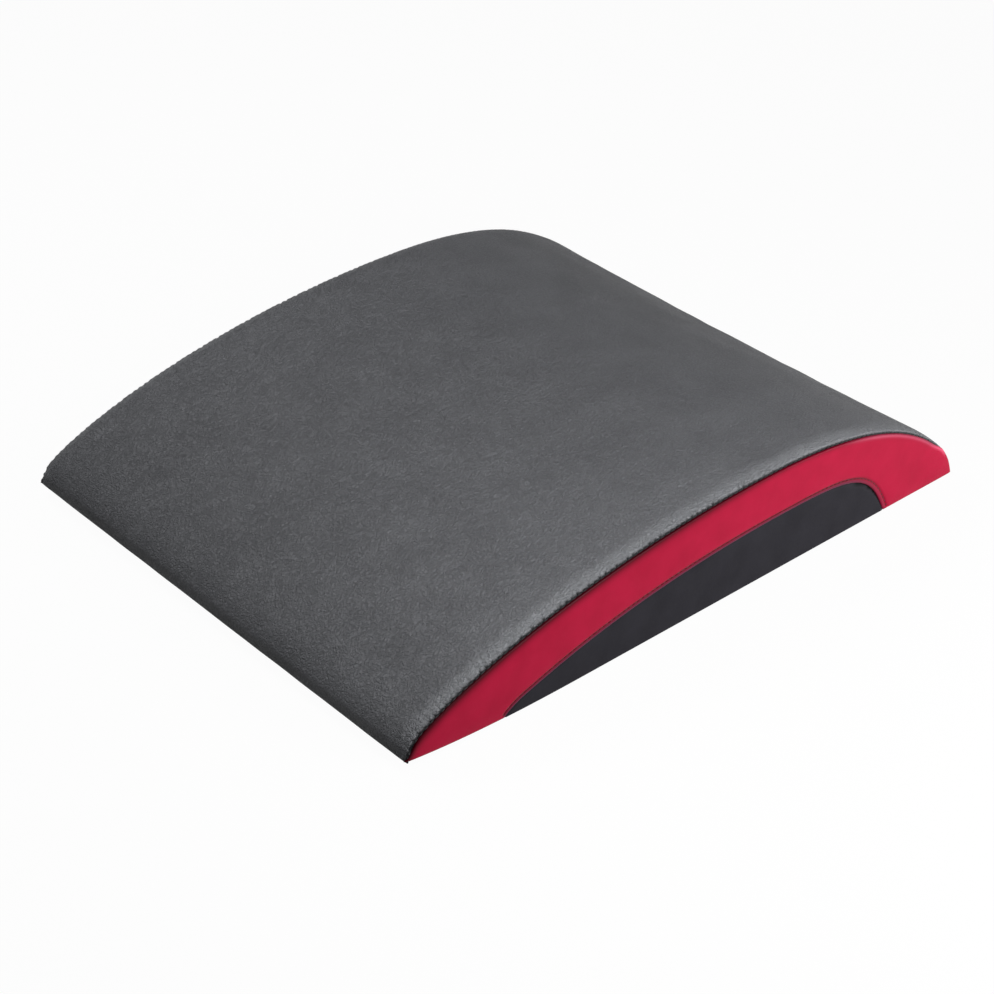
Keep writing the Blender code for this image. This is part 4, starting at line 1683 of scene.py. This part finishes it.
pull_tab = model_pull()
lay_on_wall(pull_tab, place=(slider_x, 0, pull_out))
for piece, body, node_name in ((slider, "slider", "zip_slider"), (pull_tab, "pull", "zip_pull")):
    piece.data.shade_smooth()
    piece.data.set_sharp_from_angle(angle=radians(35))
    piece.data.materials.append(metal)
    hand_over(piece, body, "zip_metal", node_name)
print(count_faces(pull_tab))

# %% [markdown]
# ## Floor and light
#
# The mat stands on a plain white floor in soft studio light. The floor is white to the camera
# by a light of its own, and a trace of its own colour still takes the mat's shadow. A large
# lamp stands on the right and lights the red side, a second one hangs over the left, a small one
# fills the thin corner in front, and a strip behind draws out the far edge.

# %% Floor
floor_shade = (0.15, 0.15, 0.15, 1)
floor_own = (0.02, 0.02, 0.02, 1)
floor_glow = 0.965


def floor_finish():
    """White to the camera and in reflections, and a dull grey to every other ray."""
    material, tree, shader = new_finish("floor", 0.9)
    shader.inputs["Base Color"].default_value = floor_shade
    shader.inputs["Specular IOR Level"].default_value = 0
    own = node(tree, "ShaderNodeBsdfDiffuse", Color=floor_own)
    glow = node(tree, "ShaderNodeEmission", Strength=floor_glow)
    white = node(tree, "ShaderNodeAddShader")
    tree.links.new(own.outputs[0], white.inputs[0])
    tree.links.new(glow.outputs[0], white.inputs[1])
    light = node(tree, "ShaderNodeLightPath")
    seen = sums(tree, "MAXIMUM", light.outputs["Is Camera Ray"], light.outputs["Is Glossy Ray"])
    seen = sums(tree, "MAXIMUM", seen, light.outputs["Is Transmission Ray"])
    choice = node(tree, "ShaderNodeMixShader", Fac=seen)
    tree.links.new(shader.outputs[0], choice.inputs[1])
    tree.links.new(white.outputs[0], choice.inputs[2])
    tree.links.new(choice.outputs[0], tree.nodes["Material Output"].inputs["Surface"])
    return material


ground = added(bpy.ops.mesh.primitive_plane_add, size=12)
ground.name = "floor"
ground.data.materials.append(floor_finish())
print("floor:", ground.dimensions.x, "m wide")

# %% Light
sky_light = 0.03
sky_seen = 0.982

world = bpy.data.worlds.new("studio")
world.use_nodes = True
bpy.context.scene.world = world
sky = world.node_tree.nodes["Background"]
light_path = node(world.node_tree, "ShaderNodeLightPath")
sky.inputs["Color"].default_value = (1, 1, 1, 1)
to_camera = light_path.outputs["Is Camera Ray"]
feed(sky, "Strength", span(world.node_tree, to_camera, 0, 1, sky_light, sky_seen))


def softbox(name, place, aim, size, power):
    """A rectangular lamp that the camera doesn't see."""
    data = bpy.data.lights.new(name, "AREA")
    data.shape = "RECTANGLE"
    data.size, data.size_y = size
    data.energy = power
    lamp = bpy.data.objects.new(name, data)
    bpy.context.scene.collection.objects.link(lamp)
    lamp.location = place
    lamp.rotation_euler = (Vector(aim) - Vector(place)).to_track_quat("-Z", "Y").to_euler()
    lamp.visible_camera = False
    return lamp


lamps = (
    softbox("right", (0.66, 0.14, 0.20), (0.1, 0.02, 0.04), (0.2, 0.2), 4.9),
    softbox("left", (-0.38, -0.17, 0.60), (0.0, 0.0, 0.04), (0.35, 0.35), 2.9),
    softbox("front", (0.264, -0.19, 0.311), (0.05, -0.05, 0.04), (0.15, 0.15), 0.69),
    softbox("rear", (0.35, 0.31, 0.045), (0.15, 0.15, 0.03), (0.1, 0.05), 0.40),
)
print("lamps:", [(lamp.name, round(lamp.data.energy, 2)) for lamp in lamps])

# %% [markdown]
# ## Colour view
#
# The picture is shown with Blender's standard view transform.

# %% Standard view
bpy.context.scene.view_settings.view_transform = "Standard"
